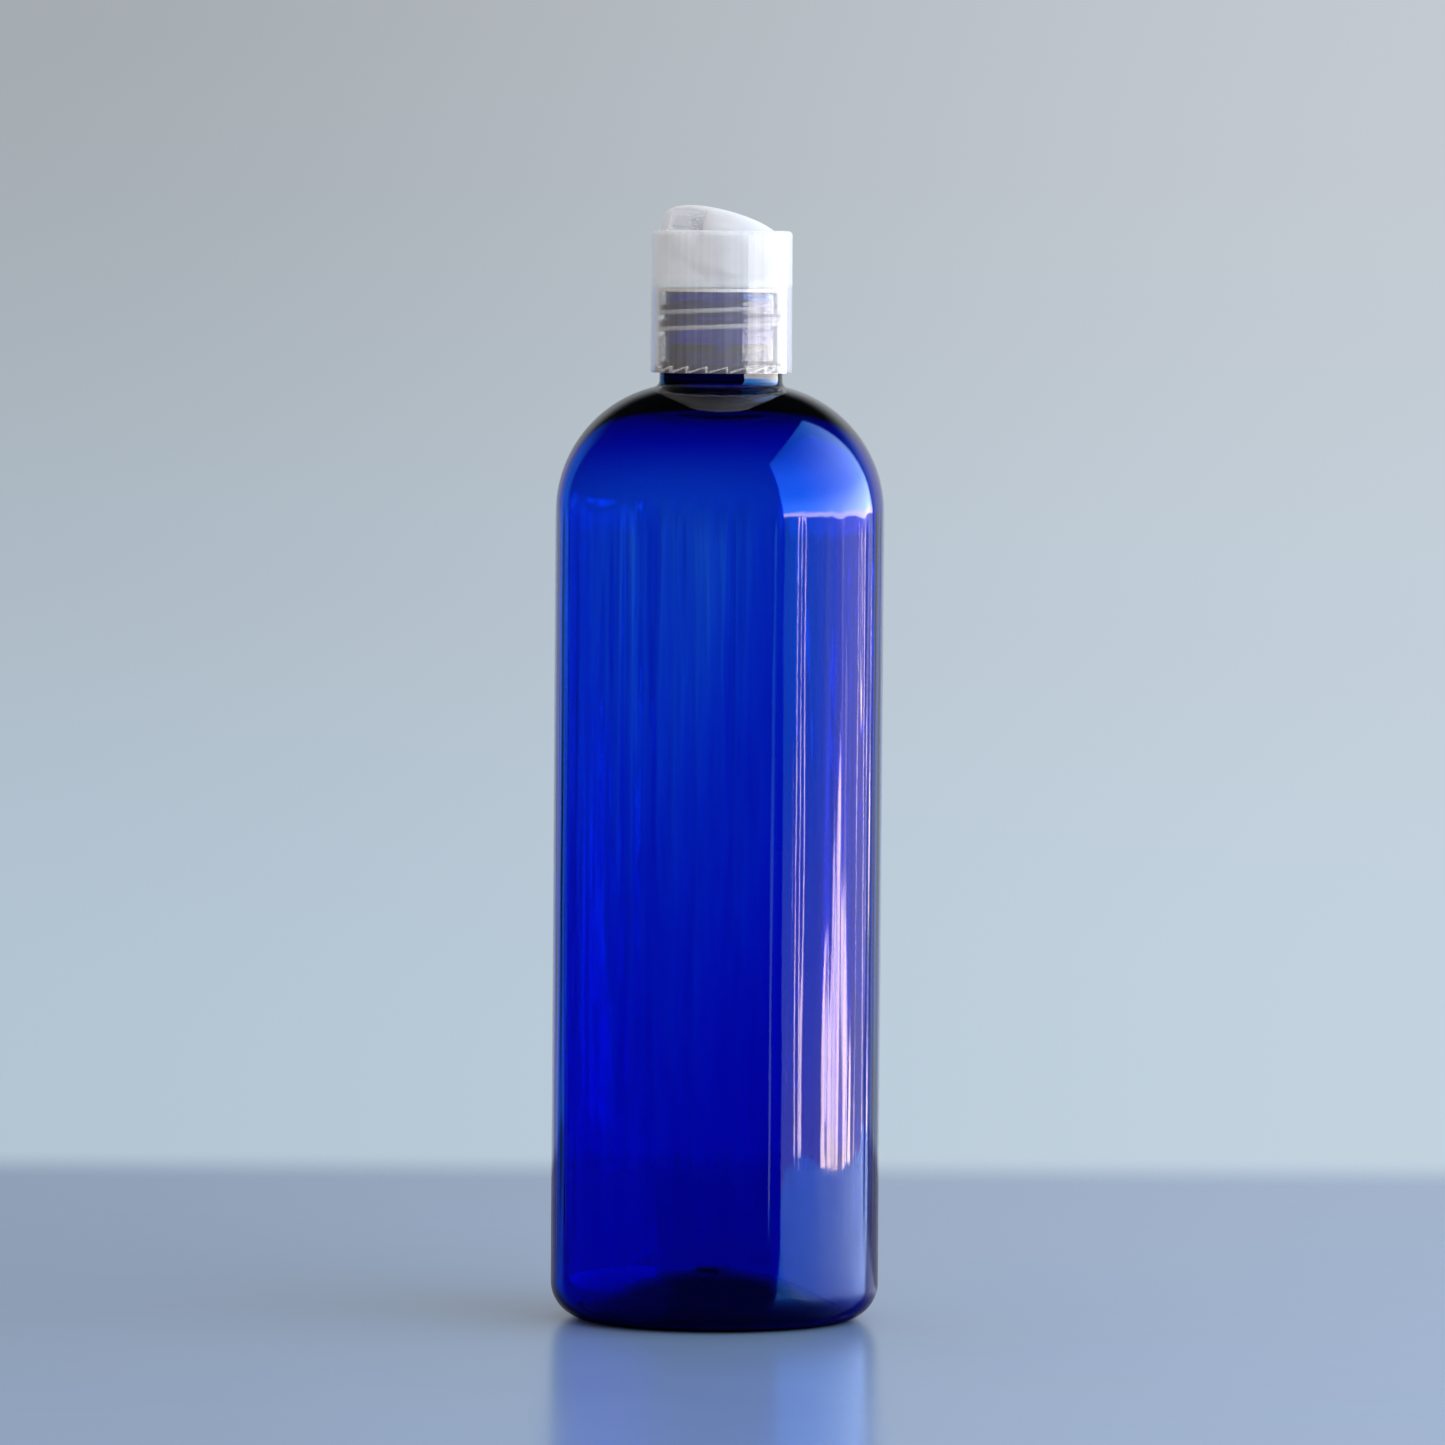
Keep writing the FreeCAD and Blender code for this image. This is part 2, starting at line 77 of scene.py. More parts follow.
# The bottle's inside, which only the look has: the wall is thin under the shoulder, thicker by
# FOOT_EXTRA at the foot and by SHOULDER_EXTRA at the neck, and UNEVEN is how much of it one side lacks
THIN_WALL = 0.35
FOOT_EXTRA = 0.6
FOOT_TAPER = 1.6
SHOULDER_EXTRA = 2.7
SHOULDER_TURN = 80.0
UNEVEN = 0.2
UNEVEN_FADE = 20.0
BASE_WALL = 0.8
BASE_SWELL = 2.0
HEEL_TURN = 70.0
DOME_START = 1.5
GATE_ROUND = 0.3
NECK_CORE = 8.2
NECK_CORE_TOP = 187.0
NECK_CORE_STEP = 1.5
NECK_CORE_FOOT = 178.6
NECK_CORE_END = 178.0
NECK_CORE_FLARE = 0.3

# Upright ripples of the blown wall; their scale of 9 on a ring of 31.7 mm makes them about 3.5 mm wide
RIPPLE_DEPTH = 0.4
RIPPLE_SCALE = 9.0
RIPPLE_FOOT = 8.0
RIPPLE_FOOT_FADE = 15.0
RIPPLE_HEAD = 160.5
RIPPLE_HEAD_FADE = 9.0

# Both threads start at -X and run out over a share of their length; the neck's sinks into the wall
THREAD_START = math.pi
THREAD_RUN_OUT = 0.06
THREAD_FOOT_WIDTH = 2.2
THREAD_SINK = 0.3

# Painted highlights inside the skirt, as pale strips: one along its thread's upper side, one along each
# tooth
LINE_RISE = 0.6
LINE_SINK = 0.05
LINE_DEPTH = 0.55
LINE_FOOT_WIDTH = 0.9
LINE_CREST_WIDTH = 0.2
EDGE_INSET = 0.04
EDGE_WIDTH = 0.35

# How finely the curved pieces are cut, the height from which the wall's rows are close together, the
# angle from which an edge is sharp, and how near two points are joined
BOTTLE_SEGMENTS = 448
FINE_ROWS_FOOT = 149.0
THREAD_STEPS = 240
SHARP_ANGLE = math.radians(35.0)
WELD = 0.0005

# Shares of light that the skirt, the rim and the thick disc scatter, and that of the pale strips that paint
# highlights inside the skirt
SKIRT_MILK = 0.25
RIM_MILK = 0.6
DISC_MILK = 0.75
HIGHLIGHT_MILK = 0.92
EDGE_ON_MILK = 0.78
FLOW_LINES = 0.05
DECK_FOOT = 199.3
DECK_TOP = 200.5

# The cap's polish: full on the skirt's outer skin, less on the rim, little inside
POLISH_INNER = 12.9
POLISH_OUTER = 13.3
SKIRT_GLOSS = 1.0
RIM_GLOSS = 0.24
INNER_GLOSS = 0.06

# The camera, worked out from the photograph's straight edges
VIEW_AZIMUTH = math.radians(39.0)
VIEW_DISTANCE = 1.900
VIEW_HEIGHT = 0.215
VIEW_PITCH = math.radians(3.0)
VIEW_ROLL = math.radians(0.4275)
FOCAL_PIXELS = 9846.0
PICTURE_PIXELS = 1445.0
AXIS_OFFSET_PIXELS = 4.03
VIEW_YAW = math.atan2(AXIS_OFFSET_PIXELS, FOCAL_PIXELS)
SENSOR_MM = 36.0

TO_VIEWER = Vector((math.sin(VIEW_AZIMUTH), -math.cos(VIEW_AZIMUTH), 0.0))
TO_RIGHT = Vector((math.cos(VIEW_AZIMUTH), math.sin(VIEW_AZIMUTH), 0.0))
UP = Vector((0.0, 0.0, 1.0))

# The table: its front, back and side edges, and where its back edge starts to fade
TABLE_FRONT = 210.0 * MM
TABLE_BACK = 330.0 * MM
TABLE_FADE = 260.0 * MM
TABLE_SIDE = 340.0 * MM

# Light levels: the fill on matt surfaces, and the window as gloss shows it
FILL_STRENGTH = 1.1
WINDOW_STRENGTH = 14.0

# The window's sides, head and sill, each as the start and end of a soft edge: its sides are angles
# round from the viewer, its sill a height on the unit sphere, its head a plane that rises to the right
WINDOW_NEAR_SIDE = (math.radians(43.4), math.radians(44.4))
WINDOW_FAR_SIDE = (math.radians(136.0), math.radians(131.0))
WINDOW_HEAD = (0.02, -0.02)
WINDOW_HEAD_RIGHT = 1.45
WINDOW_HEAD_FORWARD = 0.11
WINDOW_SILL = (-0.135, -0.12)

# The soft lamp on the window's side, in metres and watts
KEY_RIGHT = 0.78
KEY_FORWARD = 0.36
KEY_UP = 0.45
KEY_AIM_UP = 0.12
KEY_WIDTH = 1.5
KEY_TALL = 0.9
KEY_WATTS = 11.0


def linear(code):
    """An sRGB hex colour as the linear RGBA that a shader socket takes."""
    channels = []
    for start in (1, 3, 5):
        value = int(code[start:start + 2], 16) / 255.0
        if value <= 0.04045:
            channels.append(value / 12.92)
        else:
            channels.append(((value + 0.055) / 1.055) ** 2.4)
    return (channels[0], channels[1], channels[2], 1.0)


def add(tree, kind, inputs=None, **settings):
    """Adds one node: settings are its own properties, inputs are plain values or sockets to link."""
    node = tree.nodes.new(kind)
    for name, value in settings.items():
        setattr(node, name, value)
    for name, value in (inputs or {}).items():
        if isinstance(value, bpy.types.NodeSocket):
            tree.links.new(value, node.inputs[name])
        else:
            node.inputs[name].default_value = value
    return node


def new_material(name):
    """A material whose node tree is empty but for its output."""
    material = bpy.data.materials.new(name)
    material.use_nodes = True
    material.node_tree.nodes.clear()
    output = material.node_tree.nodes.new("ShaderNodeOutputMaterial")
    return material, material.node_tree, output


def blown_pet():
    """Cobalt PET, stretch-blown: glossy clear plastic, dyed through, with faint upright flow lines."""
    material, tree, output = new_material("blown_pet_cobalt")
    place = add(tree, "ShaderNodeTexCoord").outputs["Object"]
    # Flow lines about 2.5 mm apart that run up the wall
    stretched = add(tree, "ShaderNodeMapping", {"Vector": place, "Scale": (400.0, 400.0, 6.0)})
    lines = add(tree, "ShaderNodeTexNoise",
                {"Vector": stretched.outputs["Vector"], "Scale": 1.0, "Detail": 2.0})
    haze = add(tree, "ShaderNodeMapRange",
               {"Value": lines.outputs["Fac"], "From Min": 0.3, "From Max": 0.7,
                "To Min": 0.015, "To Max": 0.05})
    bump = add(tree, "ShaderNodeBump",
               {"Height": lines.outputs["Fac"], "Strength": 0.15, "Distance": 0.02 * MM})
    surface = add(tree, "ShaderNodeBsdfPrincipled",
                  {"Base Color": linear("#FFFFFF"), "IOR": 1.57, "Transmission Weight": 1.0,
                   "Roughness": haze.outputs["Result"], "Normal": bump.outputs["Normal"]})
    dye = add(tree, "ShaderNodeVolumeAbsorption",
              {"Color": linear("#00BCF9"), "Density": 8600.0})
    tree.links.new(surface.outputs["BSDF"], output.inputs["Surface"])
    tree.links.new(dye.outputs["Volume"], output.inputs["Volume"])
    return material


def moulded_pp(name, low_milk, high_milk, line_share):
    """Natural polypropylene, injection moulded: milky, partly see-through, with a polished outer skin."""
    material, tree, output = new_material(name)
    place = add(tree, "ShaderNodeTexCoord").outputs["Object"]
    # Cloudiness about 4 mm across and a tool texture about 0.4 mm across
    cloud = add(tree, "ShaderNodeTexNoise", {"Vector": place, "Scale": 250.0, "Detail": 2.0})
    milk = add(tree, "ShaderNodeMix",
               {"Factor": cloud.outputs["Fac"], "A": linear("#EEF1F5"), "B": linear("#F8FAFC")},
               data_type="RGBA")
    texture = add(tree, "ShaderNodeTexNoise", {"Vector": place, "Scale": 2500.0, "Detail": 1.0})
    satin = add(tree, "ShaderNodeMapRange",
                {"Value": texture.outputs["Fac"], "To Min": 0.25, "To Max": 0.35})
    bump = add(tree, "ShaderNodeBump",
               {"Height": texture.outputs["Fac"], "Strength": 0.1, "Distance": 0.01 * MM})
    # Each wall is milky once, where light enters it, and clear where light leaves it
    leaving = add(tree, "ShaderNodeNewGeometry").outputs["Backfacing"]
    height = add(tree, "ShaderNodeSeparateXYZ", {0: place}).outputs["Z"]
    share = add(tree, "ShaderNodeMapRange",
                {"Value": height, "From Min": DECK_FOOT * MM, "From Max": DECK_TOP * MM,
                 "To Min": low_milk, "To Max": high_milk})
    # Upright flow lines about 1 mm apart, by turns milkier and clearer
    drawn = add(tree, "ShaderNodeMapping", {"Vector": place, "Scale": (1100.0, 1100.0, 12.0)})
    lines = add(tree, "ShaderNodeTexNoise",
                {"Vector": drawn.outputs["Vector"], "Scale": 1.0, "Detail": 2.0})
    flow = add(tree, "ShaderNodeMapRange",
               {"Value": lines.outputs["Fac"], "From Min": 0.3, "From Max": 0.7,
                "To Min": -line_share, "To Max": line_share})
    lined = add(tree, "ShaderNodeMath", {0: share.outputs["Result"], 1: flow.outputs["Result"]},
                operation="ADD")
    # A round wall seen edge on is thicker to look through
    slant = add(tree, "ShaderNodeLayerWeight", {"Blend": 0.5})
    edge_on = add(tree, "ShaderNodeMapRange",
                  {"Value": slant.outputs["Facing"], "From Min": 0.38, "From Max": 0.64,
                   "To Min": lined.outputs[0], "To Max": EDGE_ON_MILK})
    entering = add(tree, "ShaderNodeMath", {0: 1.0, 1: leaving}, operation="SUBTRACT")
    veil = add(tree, "ShaderNodeMath", {0: entering.outputs[0], 1: edge_on.outputs["Result"]},
               operation="MULTIPLY")
    # Only the outer skin is polished; its gloss is set up where a thin veil would weaken it
    level = add(tree, "ShaderNodeVectorMath", {0: place, 1: (1.0, 1.0, 0.0)}, operation="MULTIPLY")
    from_axis = add(tree, "ShaderNodeVectorMath", {0: level.outputs[0]}, operation="LENGTH")
    gain = add(tree, "ShaderNodeMapRange",
               {"Value": height, "From Min": DECK_FOOT * MM, "From Max": DECK_TOP * MM,
                "To Min": SKIRT_GLOSS, "To Max": RIM_GLOSS})
    polish = add(tree, "ShaderNodeMapRange",
                 {"Value": from_axis.outputs["Value"], "From Min": POLISH_INNER * MM,
                  "From Max": POLISH_OUTER * MM, "To Min": INNER_GLOSS, "To Max": gain.outputs["Result"]})
    surface = add(tree, "ShaderNodeBsdfPrincipled",
                  {"Base Color": milk.outputs["Result"], "IOR": 1.49, "Specular IOR Level": 0.2,
                   "Roughness": satin.outputs["Result"], "Normal": bump.outputs["Normal"],
                   "Subsurface Weight": 1.0, "Subsurface Radius": (1.0, 1.0, 1.0),
                   "Subsurface Scale": 5.0 * MM, "Coat Weight": polish.outputs["Result"],
                   "Coat IOR": 2.4, "Coat Roughness": 0.03, "Alpha": veil.outputs[0]})
    tree.links.new(surface.outputs["BSDF"], output.inputs["Surface"])
    return material


def foam_pe():
    """Foamed polyethylene, stamped from sheet: matt white with tiny closed cells."""
    material, tree, output = new_material("foamed_polyethylene")
    place = add(tree, "ShaderNodeTexCoord").outputs["Object"]
    # Cells about 0.25 mm across
    cells = add(tree, "ShaderNodeTexVoronoi", {"Vector": place, "Scale": 4000.0})
    shade = add(tree, "ShaderNodeMix",
                {"Factor": cells.outputs["Distance"], "A": linear("#F4F4F2"), "B": linear("#E4E5E4")},
                data_type="RGBA")
    bump = add(tree, "ShaderNodeBump",
               {"Height": cells.outputs["Distance"], "Strength": 0.3, "Distance": 0.05 * MM})
    surface = add(tree, "ShaderNodeBsdfPrincipled",
                  {"Base Color": shade.outputs["Result"], "Roughness": 0.75,
                   "Normal": bump.outputs["Normal"]})
    tree.links.new(surface.outputs["BSDF"], output.inputs["Surface"])
    return material


def painted_board():
    """Pale painted board: satin enough to hold a soft reflection of what stands on it; to gloss it shows a
    painted pool of window light and painted shade.
    """
    material, tree, output = new_material("painted_board")
    place = add(tree, "ShaderNodeTexCoord").outputs["Object"]
    # Brush unevenness about 60 mm across
    uneven = add(tree, "ShaderNodeTexNoise", {"Vector": place, "Scale": 16.0, "Detail": 3.0})
    shade = add(tree, "ShaderNodeMix",
                {"Factor": uneven.outputs["Fac"], "A": linear("#7D97B8"), "B": linear("#849FBF")},
                data_type="RGBA")
    # In gloss the board shows painted light: a pale pool where the window's light falls across it, clear of
    # the bottle, and painted shade elsewhere and near the bottle
    sideways = add(tree, "ShaderNodeVectorMath", {0: place, 1: tuple(TO_RIGHT)}, operation="DOT_PRODUCT")
    facing = add(tree, "ShaderNodeVectorMath", {0: place, 1: tuple(TO_VIEWER)}, operation="DOT_PRODUCT")
    around = add(tree, "ShaderNodeMath",
                 {0: sideways.outputs["Value"], 1: facing.outputs["Value"]}, operation="ARCTAN2")
    distance = add(tree, "ShaderNodeVectorMath", {0: place}, operation="LENGTH")
    sunny = add(tree, "ShaderNodeMapRange",
                {"Value": around.outputs[0], "From Min": math.radians(43.0),
                 "From Max": math.radians(46.0)}, interpolation_type="SMOOTHSTEP")
    for value, start, end in ((around.outputs[0], math.radians(134.0), math.radians(128.0)),
                              (distance.outputs["Value"], 34.0 * MM, 60.0 * MM)):
        edge = add(tree, "ShaderNodeMapRange", {"Value": value, "From Min": start, "From Max": end},
                   interpolation_type="SMOOTHSTEP")
        sunny = add(tree, "ShaderNodeMath", {0: sunny.outputs[0], 1: edge.outputs["Result"]},
                    operation="MULTIPLY")
    # The painted reflection: painted shade, or the painted pool of window light
    mirrored = add(tree, "ShaderNodeMix",
                   {"Factor": sunny.outputs[0], "A": linear("#1C2024"), "B": linear("#BCC6D8")},
                   data_type="RGBA")
    rays = add(tree, "ShaderNodeLightPath")
    gloss = add(tree, "ShaderNodeMath",
                {0: rays.outputs["Is Glossy Ray"], 1: rays.outputs["Is Reflection Ray"]},
                operation="MULTIPLY")
    # Matt rays see the board's own paint, gloss rays the painted reflection
    board_paint_and_painted_reflection = add(tree, "ShaderNodeMix",
                {"Factor": gloss.outputs[0], "A": shade.outputs["Result"], "B": mirrored.outputs["Result"]},
                data_type="RGBA")
    satin = add(tree, "ShaderNodeMapRange",
                {"Value": uneven.outputs["Fac"], "To Min": 0.18, "To Max": 0.24})
    # The far edge fades into the backdrop
    fade = add(tree, "ShaderNodeMapRange",
               {"Value": facing.outputs["Value"], "From Min": -TABLE_BACK, "From Max": -TABLE_FADE},
               interpolation_type="SMOOTHSTEP")
    surface = add(tree, "ShaderNodeBsdfPrincipled",
                  {"Base Color": board_paint_and_painted_reflection.outputs["Result"], "IOR": 1.4, "Roughness": satin.outputs["Result"],
                   "Alpha": fade.outputs["Result"]})
    tree.links.new(surface.outputs["BSDF"], output.inputs["Surface"])
    return material


def arc(centre_r, centre_z, radius, start, end, steps):
    """Points on part of a circle in the profile plane, angles in degrees from outward, up positive."""
    points = []
    for step in range(steps + 1):
        angle = math.radians(start + (end - start) * step / steps)
        points.append((centre_r + radius * math.cos(angle), centre_z + radius * math.sin(angle)))
    return points


def straight(start, end, steps):
    """Points between two ends, without the ends themselves."""
    points = []
    for step in range(1, steps):
        share = step / steps
        points.append((start[0] + (end[0] - start[0]) * share, start[1] + (end[1] - start[1]) * share))
    return points


def dome_height(radius):
    """Height of the push-up's underside above the standing plane."""
    sphere = (RING_INNER ** 2 + PUSHUP_HEIGHT ** 2) / (2.0 * PUSHUP_HEIGHT)
    return math.sqrt(sphere ** 2 - radius ** 2) - (sphere - PUSHUP_HEIGHT)


def wall_at(height):
    """Side wall at a height: blown thinnest under the shoulder and thicker to the foot."""
    return THIN_WALL + FOOT_EXTRA * (1.0 - height / SHOULDER_FOOT) ** FOOT_TAPER


def unevenness(height):
    """How far the inside lies off the axis at a height: one side of a blown wall is thinner."""
    if height > SHOULDER_FOOT:
        return UNEVEN * wall_at(SHOULDER_FOOT) * max(0.0, 1.0 - (height - SHOULDER_FOOT) / UNEVEN_FADE)
    return UNEVEN * wall_at(max(height, BASE_ROUND)) * min(1.0, height / BASE_ROUND)


def bottle_profile():
    """The bottle's closed profile: out under the base, up the outside, over the lip and down the inside."""
    shoulder_r = BODY_RADIUS - SHOULDER_ROUND
    fillet_r = NECK_RADIUS + NECK_FILLET
    lean = math.degrees(math.atan2(NECK_FOOT - SHOULDER_FOOT, fillet_r - shoulder_r))
    outside = [(0.0, PUSHUP_HEIGHT)]
    for step in range(1, 15):
        radius = RING_INNER * step / 15.0
        outside.append((radius, dome_height(radius)))
    outside.append((RING_INNER, 0.0))
    outside.extend(straight((RING_INNER, 0.0), (RING_OUTER, 0.0), 3))
    outside.extend(arc(RING_OUTER, BASE_ROUND, BASE_ROUND, -90.0, 0.0, 14))
    outside.extend(straight((BODY_RADIUS, BASE_ROUND), (BODY_RADIUS, FINE_ROWS_FOOT), 24))
    outside.append((BODY_RADIUS, FINE_ROWS_FOOT))
    outside.extend(straight((BODY_RADIUS, FINE_ROWS_FOOT), (BODY_RADIUS, SHOULDER_FOOT), 10))
    outside.extend(arc(shoulder_r, SHOULDER_FOOT, SHOULDER_ROUND, 0.0, lean, 26))
    outside.extend(arc(fillet_r, NECK_FOOT, NECK_FILLET, 180.0 + lean, 180.0, 6)[1:])
    outside.extend(straight((NECK_RADIUS, NECK_FOOT), (NECK_RADIUS, COLLAR_TOP - COLLAR_EDGE), 3))
    outside.extend(((NECK_RADIUS, COLLAR_TOP - COLLAR_EDGE),
                    (NECK_RADIUS - COLLAR_EDGE, COLLAR_TOP + COLLAR_EDGE_RISE)))
    outside.append((THREAD_ROOT, COLLAR_TOP + COLLAR_SLOPE))
    outside.extend(straight((THREAD_ROOT, COLLAR_TOP + COLLAR_SLOPE),
                            (THREAD_ROOT, LIP_HEIGHT - LIP_ROUND), 6))
    outside.extend(arc(THREAD_ROOT - LIP_ROUND, LIP_HEIGHT - LIP_ROUND, LIP_ROUND, 0.0, 90.0, 5))
    inside = arc(NECK_BORE + LIP_ROUND, LIP_HEIGHT - LIP_ROUND, LIP_ROUND, 90.0, 180.0, 5)
    inside.extend(straight((NECK_BORE, LIP_HEIGHT - LIP_ROUND),
                           (NECK_BORE, NECK_CORE_TOP + NECK_CORE_STEP), 6))
    # The unstretched foot of the neck is thick
    inside.extend(((NECK_BORE, NECK_CORE_TOP + NECK_CORE_STEP), (NECK_CORE, NECK_CORE_TOP)))
    inside.extend(straight((NECK_CORE, NECK_CORE_TOP), (NECK_CORE, NECK_CORE_FOOT), 4))
    inside.extend(((NECK_CORE, NECK_CORE_FOOT), (NECK_CORE + NECK_CORE_FLARE, NECK_CORE_END)))
    # The shoulder's wall grows from the thin body to the solid neck
    for step in range(0, 27):
        share = 1.0 - step / 26.0
        angle = math.radians(SHOULDER_TURN * share)
        reach = SHOULDER_ROUND - wall_at(SHOULDER_FOOT) - SHOULDER_EXTRA * share ** 3.0
        inside.append((shoulder_r + reach * math.cos(angle), SHOULDER_FOOT + reach * math.sin(angle)))
    for step in range(1, 27):
        height = SHOULDER_FOOT + (BASE_ROUND - SHOULDER_FOOT) * step / 26.0
        inside.append((BODY_RADIUS - wall_at(height), height))
    heel = BASE_ROUND - wall_at(BASE_ROUND)
    inside.extend(arc(RING_OUTER, BASE_ROUND, heel, 0.0, -HEEL_TURN, 12)[1:])
    for step in range(1, 14):
        share = step / 14.0
        radius = (RING_INNER - DOME_START) * (1.0 - share) + GATE_RADIUS * share
        inside.append((radius, dome_height(radius) + BASE_WALL + BASE_SWELL * (radius / RING_INNER) ** 2))
    top = dome_height(GATE_RADIUS) + BASE_WALL
    inside.extend(((GATE_RADIUS, top), (GATE_RADIUS - GATE_ROUND, top + GATE_HEIGHT),
                   (0.0, top + GATE_HEIGHT)))
    profile = [(radius, 0.0, height) for radius, height in outside]
    profile.extend((radius, unevenness(height), height) for radius, height in inside)
    return profile


def turned_tree():
    """Geometry Nodes: turns a profile about Z, with upright ripples on the straight wall."""
    tree = bpy.data.node_groups.new("turned_wall", "GeometryNodeTree")
    tree.interface.new_socket("Profile", in_out="INPUT", socket_type="NodeSocketGeometry")
    for name, kind in (("Rows", "NodeSocketInt"), ("Segments", "NodeSocketInt"),
                       ("Ripple Depth", "NodeSocketFloat"), ("Ripple Scale", "NodeSocketFloat"),
                       ("Ripple Foot", "NodeSocketFloat"), ("Ripple Head", "NodeSocketFloat"),
                       ("Thin Side", "NodeSocketVector"), ("Material", "NodeSocketMaterial")):
        tree.interface.new_socket(name, in_out="INPUT", socket_type=kind)
    tree.interface.new_socket("Mesh", in_out="OUTPUT", socket_type="NodeSocketGeometry")
    given = tree.nodes.new("NodeGroupInput").outputs
    columns = add(tree, "ShaderNodeMath", {0: given["Segments"], 1: 1.0}, operation="ADD")
    grid = add(tree, "GeometryNodeMeshGrid",
               {"Size X": 1.0, "Size Y": 1.0, "Vertices X": columns.outputs[0],
                "Vertices Y": given["Rows"]})
    here = add(tree, "ShaderNodeSeparateXYZ",
               {0: add(tree, "GeometryNodeInputPosition").outputs[0]})
    # Across the sheet is the turn, along it is the profile point
    turn = add(tree, "ShaderNodeMath", {0: here.outputs["X"], 1: 0.5}, operation="ADD")
    angle = add(tree, "ShaderNodeMath", {0: turn.outputs[0], 1: 2.0 * math.pi}, operation="MULTIPLY")
    along = add(tree, "ShaderNodeMath", {0: here.outputs["Y"], 1: 0.5}, operation="ADD")
    last = add(tree, "ShaderNodeMath", {0: given["Rows"], 1: 1.0}, operation="SUBTRACT")
    row = add(tree, "ShaderNodeMath", {0: along.outputs[0], 1: last.outputs[0]}, operation="MULTIPLY")
    index = add(tree, "ShaderNodeMath", {0: row.outputs[0]}, operation="ROUND")
    point = add(tree, "GeometryNodeSampleIndex",
                {"Geometry": given["Profile"],
                 "Value": add(tree, "GeometryNodeInputPosition").outputs[0],
                 "Index": index.outputs[0]}, data_type="FLOAT_VECTOR", domain="POINT")
    profile = add(tree, "ShaderNodeSeparateXYZ", {0: point.outputs[0]})
    cosine = add(tree, "ShaderNodeMath", {0: angle.outputs[0]}, operation="COSINE")
    sine = add(tree, "ShaderNodeMath", {0: angle.outputs[0]}, operation="SINE")
    ring = add(tree, "ShaderNodeCombineXYZ", {"X": cosine.outputs[0], "Y": sine.outputs[0]})
    # Ripples change slowly with height, differ inside and outside, and fade out at both ends
    slow = add(tree, "ShaderNodeMath", {0: profile.outputs["Z"], 1: 0.3}, operation="MULTIPLY")
    apart = add(tree, "ShaderNodeMath", {0: profile.outputs["X"], 1: 900.0, 2: slow.outputs[0]},
                operation="MULTIPLY_ADD")
    lift = add(tree, "ShaderNodeCombineXYZ", {"Z": apart.outputs[0]})
    seat = add(tree, "ShaderNodeVectorMath", {0: ring.outputs[0], 1: lift.outputs[0]}, operation="ADD")
    noise = add(tree, "ShaderNodeTexNoise",
                {"Vector": seat.outputs[0], "Scale": given["Ripple Scale"], "Detail": 4.0,
                 "Roughness": 0.6})
    swell = add(tree, "ShaderNodeMath", {0: noise.outputs["Fac"], 1: 0.5}, operation="SUBTRACT")
    full_from = add(tree, "ShaderNodeMath", {0: given["Ripple Foot"], 1: RIPPLE_FOOT_FADE * MM},
                    operation="ADD")
    fade_low = add(tree, "ShaderNodeMapRange",
                   {"Value": profile.outputs["Z"], "From Min": given["Ripple Foot"],
                    "From Max": full_from.outputs[0]}, interpolation_type="SMOOTHSTEP")
    full_to = add(tree, "ShaderNodeMath", {0: given["Ripple Head"], 1: RIPPLE_HEAD_FADE * MM},
                  operation="SUBTRACT")
    fade_high = add(tree, "ShaderNodeMapRange",
                    {"Value": profile.outputs["Z"], "From Min": given["Ripple Head"],
                     "From Max": full_to.outputs[0]}, interpolation_type="SMOOTHSTEP")
    mask = add(tree, "ShaderNodeMath", {0: fade_low.outputs[0], 1: fade_high.outputs[0]},
               operation="MULTIPLY")
    depth = add(tree, "ShaderNodeMath", {0: mask.outputs[0], 1: given["Ripple Depth"]},
                operation="MULTIPLY")
    ripple = add(tree, "ShaderNodeMath", {0: swell.outputs[0], 1: depth.outputs[0]},
                 operation="MULTIPLY")
    radius = add(tree, "ShaderNodeMath", {0: profile.outputs["X"], 1: ripple.outputs[0]},
                 operation="ADD")
    spoke = add(tree, "ShaderNodeVectorMath", {0: ring.outputs[0], "Scale": radius.outputs[0]},
                operation="SCALE")
    height = add(tree, "ShaderNodeCombineXYZ", {"Z": profile.outputs["Z"]})
    upright = add(tree, "ShaderNodeVectorMath", {0: spoke.outputs[0], 1: height.outputs[0]},
                  operation="ADD")
    # The thin side of the wall
    aside = add(tree, "ShaderNodeVectorMath", {0: given["Thin Side"], "Scale": profile.outputs["Y"]},
                operation="SCALE")
    place = add(tree, "ShaderNodeVectorMath", {0: upright.outputs[0], 1: aside.outputs[0]},
                operation="ADD")
    moved = add(tree, "GeometryNodeSetPosition",
                {"Geometry": grid.outputs["Mesh"], "Position": place.outputs[0]})
    closed = add(tree, "GeometryNodeMergeByDistance",
                 {"Geometry": moved.outputs[0], "Distance": WELD * MM})
    smooth = add(tree, "GeometryNodeSetShadeSmooth", {"Geometry": closed.outputs[0]})
    real = add(tree, "GeometryNodeRealizeInstances", {"Geometry": smooth.outputs[0]})
    painted = add(tree, "GeometryNodeSetMaterial",
                  {"Geometry": real.outputs[0], "Material": given["Material"]})
    add(tree, "NodeGroupOutput", {"Mesh": painted.outputs[0]})
    return tree


